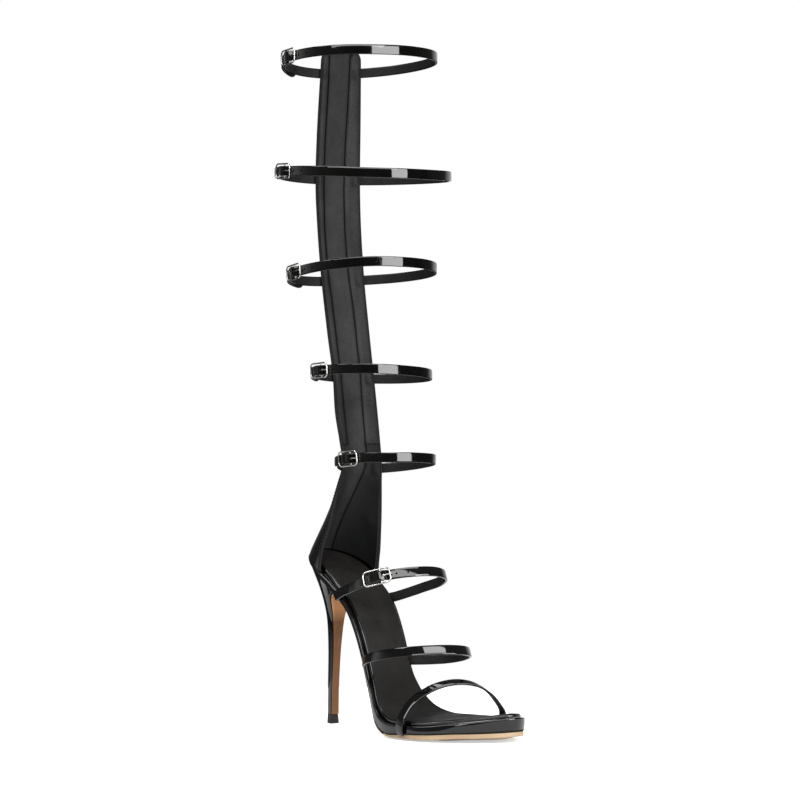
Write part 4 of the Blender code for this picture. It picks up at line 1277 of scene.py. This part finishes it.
def sandal_band(path, roots, leans, inner_inset, tucks):
    """Line of a sandal strap, carried on into the sole at both ends."""
    steps = 14
    outer = edge_y(roots[0][0], -1, 0) - ROOT_STAND_OFF
    inner = edge_y(roots[1][0], 1, inner_inset) + ROOT_STAND_OFF
    knots = [(x, outer + inward, z) for x, inward, z in tucks[0]]
    knots += [(roots[0][0], outer, roots[0][1]), *path, (roots[1][0], inner, roots[1][1])]
    knots += [(x, inner - inward, z) for x, inward, z in tucks[1]]
    points = smooth_rows(knots, steps)
    tangents = unit(np.gradient(points, axis=0))
    leans = np.array(leans)
    lean = read_rows(np.linspace(0, 1, len(points)), leans[:, 0], leans[:, 1:])
    widths = unit(lean - tangents * np.sum(tangents * lean, axis=1)[:, None])
    return Band(points, unit(np.cross(tangents, widths)), widths, start=steps * len(tucks[0]))


def ride_height(table, origin, place):
    offset = np.asarray(place) - origin
    height = np.full(offset.shape, float(table[-1][1]))
    for (start, low), (end, high) in list(zip(table, table[1:]))[::-1]:
        height = np.where(offset <= end, low + (high - low) * ease(offset, start, end), height)
    return height


def strap_section(half, thickness, low, crown):
    """Cross-section of a strap at each place: sides, heights and the inner face's columns."""
    half, thickness, low = (v[:, None] for v in (half, thickness, low))
    radius = np.minimum(0.5, np.minimum(0.42 * thickness, 0.6 * half))
    straight = half - radius
    inner = np.linspace(-1, 1, 5)
    points = [(share * straight, low) for share in inner]

    def turns(angles, sign, centre):
        for angle in np.radians(angles):
            side = sign * straight + radius * math.cos(angle)
            points.append((side, centre + radius * math.sin(angle)))

    turns((-60, -30, 0), 1, low + radius)
    turns((0, 30, 60, 90), 1, low + (thickness - radius))
    for share in np.linspace(1, -1, 9)[1:-1]:
        dome = crown * (1 - share**2) * (half / 3.6)
        points.append((share * straight, low + thickness + dome))
    turns((90, 120, 150, 180), -1, low + (thickness - radius))
    turns((180, 210, 240), -1, low + radius)
    sides, heights = zip(*points)
    return np.hstack(sides), np.hstack(heights), range(len(inner) - 1)


def strap(name, band, places, low, half, thickness, drift=0, crown=0.07):
    """Strap with a patent face, rounded edges, rounded ends and a lined inner face."""
    forward = 1 if places[-1] > places[0] else -1
    tuck = np.array([0, 0.08, 0.25])
    shrink = np.array([0.35, 0.16, 0.04])
    trim = np.concatenate([shrink, np.zeros(len(places) - 2), shrink[::-1]])

    def stretch(values):
        values = values * np.ones(len(places))
        return np.concatenate([np.repeat(values[:1], 3), values[1:-1], np.repeat(values[-1:], 3)])

    ends = places[0] + forward * tuck, (places[-1] - forward * tuck)[::-1]
    point, normal, width = band.at(np.concatenate([ends[0], places[1:-1], ends[1]]))
    half = np.maximum(stretch(half) - trim, 0.2)
    low = stretch(low) + trim
    sides, heights, inner = strap_section(half, thickness - 2 * trim, low, crown)
    rings = rings_at(point, normal, width, heights, sides + stretch(drift)[:, None])
    return loft(name, rings, [PATENT, STRAP_LINING], inner, sharp=50, merge=0.0005)


def tail_half_width(places, tip):
    t = np.clip((places - tip) / TAIL_POINT, 0, 1)
    return STRAP_WIDTH / 2 * (0.12 + 0.88 * np.sqrt(t * (2 - t)))


def drill(item, seats, outline, half_depth):
    """Cut an outline into a strap at each seat; the cuts' walls are matt lining."""
    shape = prism(outline, half_depth, axis_y=False)
    cutter = join("cutter", [placed(seat, shape) for seat in seats], PATENT, STRAP_LINING)
    for face in cutter.data.polygons:
        face.material_index = 1
    boolean(item, cutter, "DIFFERENCE")


def buckled_strap(name, band, root_short, middle, tip, root_long, droop):
    tilt = math.radians(-FRAME_TILT)
    ahead = math.cos(tilt), 0, -math.sin(tilt)
    turn = seat_of((0, 0, 0), ahead, (0, 1, 0), (math.sin(tilt), 0, math.cos(tilt)))
    seat = moved(band.matrix(middle), z=FRAME_HEIGHT) @ turn
    bar_seat = moved(seat, x=BAR_PLACE)

    bar_at = middle + BAR_PLACE
    places = np.append(np.arange(root_short, bar_at, STRAP_STEP), bar_at)
    low = ride_height(SHORT_STRAP_RIDE, bar_at, places)
    half = STRAP_WIDTH / 2
    short = strap(f"{name}_buckle_side", band, places, low, half, SHORT_THICKNESS, crown=0.05)
    fold = placed(bar_seat, prism(circle(FOLD_RADIUS, 40), half, 0.3))
    boolean(short, piece("fold", *fold, [PATENT, STRAP_LINING]), "UNION")
    drill(short, [moved(bar_seat, x=0.5, z=0.35)], round_outline(*PRONG_SLOT, 4), CUT_DEPTH)
    carried(short, "patent_black", f"{name}_short")

    clear = middle - FRAME_LENGTH / 2 - 3
    fine_end = middle + FRAME_LENGTH / 2 + 3
    bounds = tip + TAIL_POINT + 0.7, clear, fine_end, root_long
    places = [np.arange(*span) for span in zip(bounds, bounds[1:], LONG_STEPS)]
    point = tip + TAIL_POINT * np.linspace(0, 1, 14) ** 1.6
    places = np.concatenate([point, *places, [root_long]])
    drift = -droop * np.clip((clear - places) / max(clear - tip, 1), 0, 1) ** 2
    low = ride_height(LONG_STRAP_RIDE, middle, places)
    half = tail_half_width(places, tip)
    long = strap(f"{name}_tongue", band, places, low, half, STRAP_THICKNESS, drift)
    spots = middle + HOLE_FIRST + HOLE_SPACING * np.arange(-4, 3)
    seats = [
        moved(
            band.matrix(spot),
            y=float(np.interp(spot, places, drift)),
            z=float(ride_height(LONG_STRAP_RIDE, middle, spot)) + HOLE_SEAT,
        )
        for spot in spots
        if spot >= tip + TAIL_POINT + 3
    ]
    drill(long, seats, circle(HOLE_RADIUS), CUT_DEPTH)
    drill(long, [moved(bar_seat, x=2.4, z=1.2)], circle(PRONG_HOLE), CUT_DEPTH + 1)
    carried(long, "patent_black", f"{name}_long")

    length, width = FRAME_LENGTH - 2 * FRAME_WIRE, FRAME_WIDTH - 2 * FRAME_WIRE
    line = [(x, y, 0) for x, y in round_outline(length, width, FRAME_CORNER, 10)]
    half_bar = FRAME_WIDTH / 2 - FRAME_WIRE
    bar = [(0, y, 0) for y in np.linspace(-half_bar, half_bar, 9)]
    parts = [
        placed(seat, wire(line, FRAME_WIRE, (0, 0, 1), 16, cyclic=True)),
        placed(bar_seat, wire(bar, BAR_WIRE, (0, 0, 1), 16, ends=False)),
    ]
    carried(join(f"{name}_frame", parts, SILVER), "silver_metal", f"{name}_buckle")

    eye = np.radians(20 - np.linspace(0, 290, 30))[::-1]
    line = [(BAR_PLACE + PRONG_EYE * math.sin(a), 0, PRONG_EYE * math.cos(a)) for a in eye]
    end = FRAME_LENGTH / 2 + 0.6
    rest = FRAME_WIRE + PRONG_WIRE + 0.15
    knots = [line[-1], (BAR_PLACE + 3, 0, PRONG_EYE + 0.1)]
    knots += [(end - 1.2, 0, rest + 0.05), (end, 0, rest - 0.05)]
    line += list(smooth_rows(knots, 6)[1:])
    prong = join(f"{name}_pin", [placed(seat, wire(line, PRONG_WIRE, (0, 1, 0), 14))], SILVER)
    carried(prong, "silver_metal", f"{name}_prong")


def make_straps():
    for name, *stations, buckle_angle, tip_angle, droop, stray, bump in SHAFT_STRAPS:
        band = shaft_band(stations, stray, bump)
        root = band.place(ZIP_ANGLE) + ROOT_CLEARANCE
        loop = band.place(360 + ZIP_ANGLE) - ROOT_CLEARANCE
        buckled_strap(
            name, band, root, band.place(buckle_angle), band.place(tip_angle), loop, droop
        )
    band = sandal_band(INSTEP_PATH, INSTEP_ROOTS, INSTEP_LEANS, 0, INSTEP_TUCKS)
    root, loop = band.places[[0, -1]]
    buckled_strap("instep_strap", band, root, INSTEP_BUCKLE, INSTEP_TAIL, loop, 0)
    midfoot = MIDFOOT_PATH, MIDFOOT_ROOTS, MIDFOOT_LEANS, 0, MIDFOOT_TUCKS
    toe = TOE_PATH, TOE_ROOTS, TOE_LEANS, TOE_ROOT_INSET, TOE_TUCKS
    for name, line, width in (
        ("midfoot_strap", midfoot, STRAP_WIDTH), ("toe_strap", toe, TOE_STRAP_WIDTH),
    ):
        band = sandal_band(*line)
        places = np.arange(band.places[0], band.places[-1], STRAP_STEP)
        item = strap(f"{name}_band", band, places, 0, width / 2, STRAP_THICKNESS)
        carried(item, "patent_black", name)


# ---------------------------------------------------------------- back zip


def make_zip():
    heights = np.arange(ZIP_LOW, ZIP_HIGH + 0.1, 2)
    points, normals, up = leg_frame(heights, ZIP_ANGLE + 0 * heights)
    band = Band(points, normals, unit(np.cross(normals, up)))
    point, normal, width = band.at(np.arange(0, band.places[-1], 2))
    tape_half = ZIP_WIDTH / 2
    across = np.array([[0.9, tape_half, tape_half, 0.9]])
    high = np.array([[GAP, GAP, GAP + 0.4, GAP + 0.4]])
    parts = []
    for side in (-1, 1):
        rings = rings_at(point, width, normal, side * across, high)
        parts.append((rings.reshape(-1, 3), tube_faces(len(rings), 4)))
    carried(join("zip_tape_pair", parts, TAPE), "zip_black", "zip_chain")

    rectangle = np.array([(-1, -1), (1, -1), (1, 1), (-1, 1)]) * TOOTH_HALF
    levels = [np.column_stack([rectangle * s, [z] * 4]) for z, s in TOOTH_LEVELS]
    tooth = np.vstack(levels), tube_faces(len(levels), 4)
    parts = []
    for k, place in enumerate(np.arange(1.2, band.places[-1] - 0.8, TOOTH_PITCH)):
        side = TOOTH_SHIFT if k % 2 else -TOOTH_SHIFT
        parts.append(placed(moved(band.matrix(place), y=side, z=GAP + 0.2), tooth))
    carried(join("zip_teeth", parts, NYLON), "zip_black")

    point, normal, up = leg_frame(SLIDER_HEIGHT, ZIP_ANGLE)
    seat = seat_of(point, -up, unit(np.cross(normal, -up)), normal)
    pin_seat = moved(seat, z=PIN_STAND_OFF)
    body = moved(seat, z=GAP + ZIP_THICKNESS + GAP + SLIDER_THICKNESS / 2)
    outline = smooth_rows(SLIDER_WAIST + tuple((x, -y) for x, y in SLIDER_WAIST[::-1]), 4, True)
    parts = [placed(body, prism(outline, SLIDER_THICKNESS / 2, 0.45, axis_y=False))]
    lug = prism(round_outline(*LUG, 5), 0.5, 0.15)
    for side in (-1, 1):
        lug_seat = moved(seat, y=side * (PIN_LENGTH - 1) / 2, z=PIN_STAND_OFF - 0.8)
        parts.append(placed(lug_seat, lug))
    parts.append(placed(pin_seat, prism(circle(PIN_WIRE), PIN_LENGTH / 2 - 0.2, 0.12)))
    carried(join("zip_slider_body", parts, SILVER), "silver_metal", "zip_slider")

    turn = np.linspace(0, 2 * math.pi, 33)[:-1]
    rings = np.array([
        [(r * math.cos(a), s * BARREL_LENGTH / 2, r * math.sin(a)) for r, s in BARREL_PROFILE]
        for a in turn
    ])
    barrel = rings.reshape(-1, 3), torus_faces(len(turn), len(BARREL_PROFILE))
    neck = prism(round_outline(*NECK, 3), 0.7, 0.2, axis_y=False)
    parts = [placed(pin_seat, barrel), placed(moved(pin_seat, x=NECK_PLACE), neck)]
    carried(join("zip_pull_clip", parts, SILVER), "silver_metal", body="zip_pull")

    tab_seat = moved(pin_seat, x=PULL_LENGTH / 2 + PULL_PLACE)
    outline = round_outline(PULL_LENGTH, PULL_WIDTH, 2.2, 8)
    shape = placed(tab_seat, prism(outline, PULL_THICKNESS / 2, 0.55, axis_y=False))
    carried(join("zip_pull_tab", [shape], PATENT), "patent_black", "zip_pull", body="zip_pull")
    outline = round_outline(PULL_LENGTH - 2 * TAB_SEAM, PULL_WIDTH - 2 * TAB_SEAM, 1.4)
    line = [(x, y, PULL_THICKNESS / 2) for x, y in outline + outline[:1]]
    normals = np.tile(tab_seat[:3, 2], (len(line), 1))
    parts = stitches(to_world(tab_seat, line), normals, *TAB_STITCHES)
    carried(join("zip_pull_stitches", parts, THREAD), "patent_black", body="zip_pull")


# ---------------------------------------------------------------- seams


def seam(levels, angles):
    """Stitches on the upper along a line of levels and angles."""
    points, normals, _ = leg_frame(levels, angles)
    return stitches(points + 0.03 * normals, normals, *PANEL_STITCHES)


def make_seams():
    parts = []
    levels = np.arange(126, 492, 2)
    for column, side in ((6, -1), (7, 1)):
        parts += seam(levels, leg_column(levels, column) + side * as_angle(levels, SEAM_INSET))
    levels = np.arange(140, 498, 2)
    for side in (-1, 1):
        parts += seam(levels, ZIP_ANGLE + side * as_angle(levels, ZIP_SEAM))
    carried(join("panel_stitches", parts, THREAD), "patent_black")


# ---------------------------------------------------------------- stage, light and camera


def plan(azimuth):
    """Unit direction in plan; azimuth 0 is +X and 90 is +Y."""
    turn = math.radians(azimuth)
    return Vector((math.cos(turn), math.sin(turn), 0))


def make_floor():
    bpy.ops.mesh.primitive_circle_add(
        vertices=96, radius=0.42, fill_type="NGON", location=(0.14, -0.05, 0)
    )
    floor = bpy.context.object
    floor.name = "floor"
    m = Finish(
        "floor_white",
        {"Roughness": 0.75, "Specular IOR Level": 0.1, "Emission Color": (1, 1, 1, 1)},
    )
    tone = m.blend(m.spread(m.noise(1.5)), [0.86] * 3, [0.88] * 3)
    seen = m.add("LightPath").outputs["Is Camera Ray"]
    glow = m.add("Math", {0: seen, 1: FLOOR_GLOW}, operation="MULTIPLY").outputs[0]
    floor.data.materials.append(m.done({"Base Color": tone, "Emission Strength": glow}))


def aimed(data, location, direction):
    """Object for a light's or camera's data that looks along a direction."""
    item = bpy.data.objects.new(data.name, data)
    item.location = location
    item.rotation_euler = direction.to_track_quat("-Z", "Y").to_euler()
    bpy.context.scene.collection.objects.link(item)
    return item


def make_softbox(name, target, azimuth, elevation, distance, width, tall, radiance):
    """Area light that faces a target in millimetres, seen from it at the given angles."""
    data = bpy.data.lights.new(name, "AREA")
    data.shape = "RECTANGLE"
    data.size = width
    data.size_y = tall
    data.energy = radiance * math.pi * width * tall
    up = math.radians(elevation)
    toward = plan(azimuth) * math.cos(up) + Vector((0, 0, math.sin(up)))
    aimed(data, Vector(target) * MM + toward * distance, -toward).visible_camera = False


def make_world():
    """Dark studio with a pale wall on the left, a white backdrop and a dim ceiling."""
    world = bpy.data.worlds.new("studio")
    bpy.context.scene.world = world
    world.use_nodes = True
    world.node_tree.nodes.clear()
    m = Nodes(world.node_tree)
    parts = m.add("SeparateXYZ", {0: m.add("TexCoord").outputs["Generated"]}).outputs
    turn = m.add("Math", {0: parts["Y"], 1: parts["X"]}, operation="ARCTAN2").outputs[0]
    walls = m.add("ValToRGB", {"Fac": m.spread(turn, 0, 1, -math.pi, math.pi)})
    ramp = walls.color_ramp
    while len(ramp.elements) < len(STUDIO_WALLS):
        ramp.elements.new(0.5)
    for element, (azimuth, value) in zip(ramp.elements, STUDIO_WALLS):
        element.position = azimuth / 360 + 0.5
        element.color = (value, value, value, 1)
    low = m.spread(parts["Z"], 0, 1, -0.2, -0.08)
    high = m.spread(parts["Z"], 0, 1, 0.2, 0.33)
    ceiling = m.blend(high, walls.outputs["Color"], [0.12] * 3)
    tone = m.blend(low, [0.03] * 3, ceiling)
    studio = m.add("Background", {"Color": tone, "Strength": 1}).outputs[0]
    backdrop = m.add("Background", {"Color": (1, 1, 1, 1), "Strength": 1}).outputs[0]
    seen = m.add("LightPath").outputs["Is Camera Ray"]
    mixed = m.add("MixShader", {0: seen, 1: studio, 2: backdrop}).outputs[0]
    m.add("OutputWorld", {"Surface": mixed})


def make_camera():
    data = bpy.data.cameras.new("camera")
    data.lens = LENS
    data.sensor_width = SENSOR
    data.clip_end = 100
    toward = plan(CAMERA_AZIMUTH)
    place = toward * CAMERA_DISTANCE + Vector((-toward.y, toward.x, 0)) * CAMERA_SIDE
    place.z = CAMERA_HEIGHT
    bpy.context.scene.camera = aimed(data, place * MM, -plan(CAMERA_AZIMUTH + CAMERA_YAW))


make_soles()
make_heel()
make_upper()
make_straps()
make_zip()
make_seams()
make_floor()
for softbox in SOFTBOXES:
    make_softbox(*softbox)
make_world()
make_camera()
bpy.context.scene.view_settings.view_transform = "Standard"
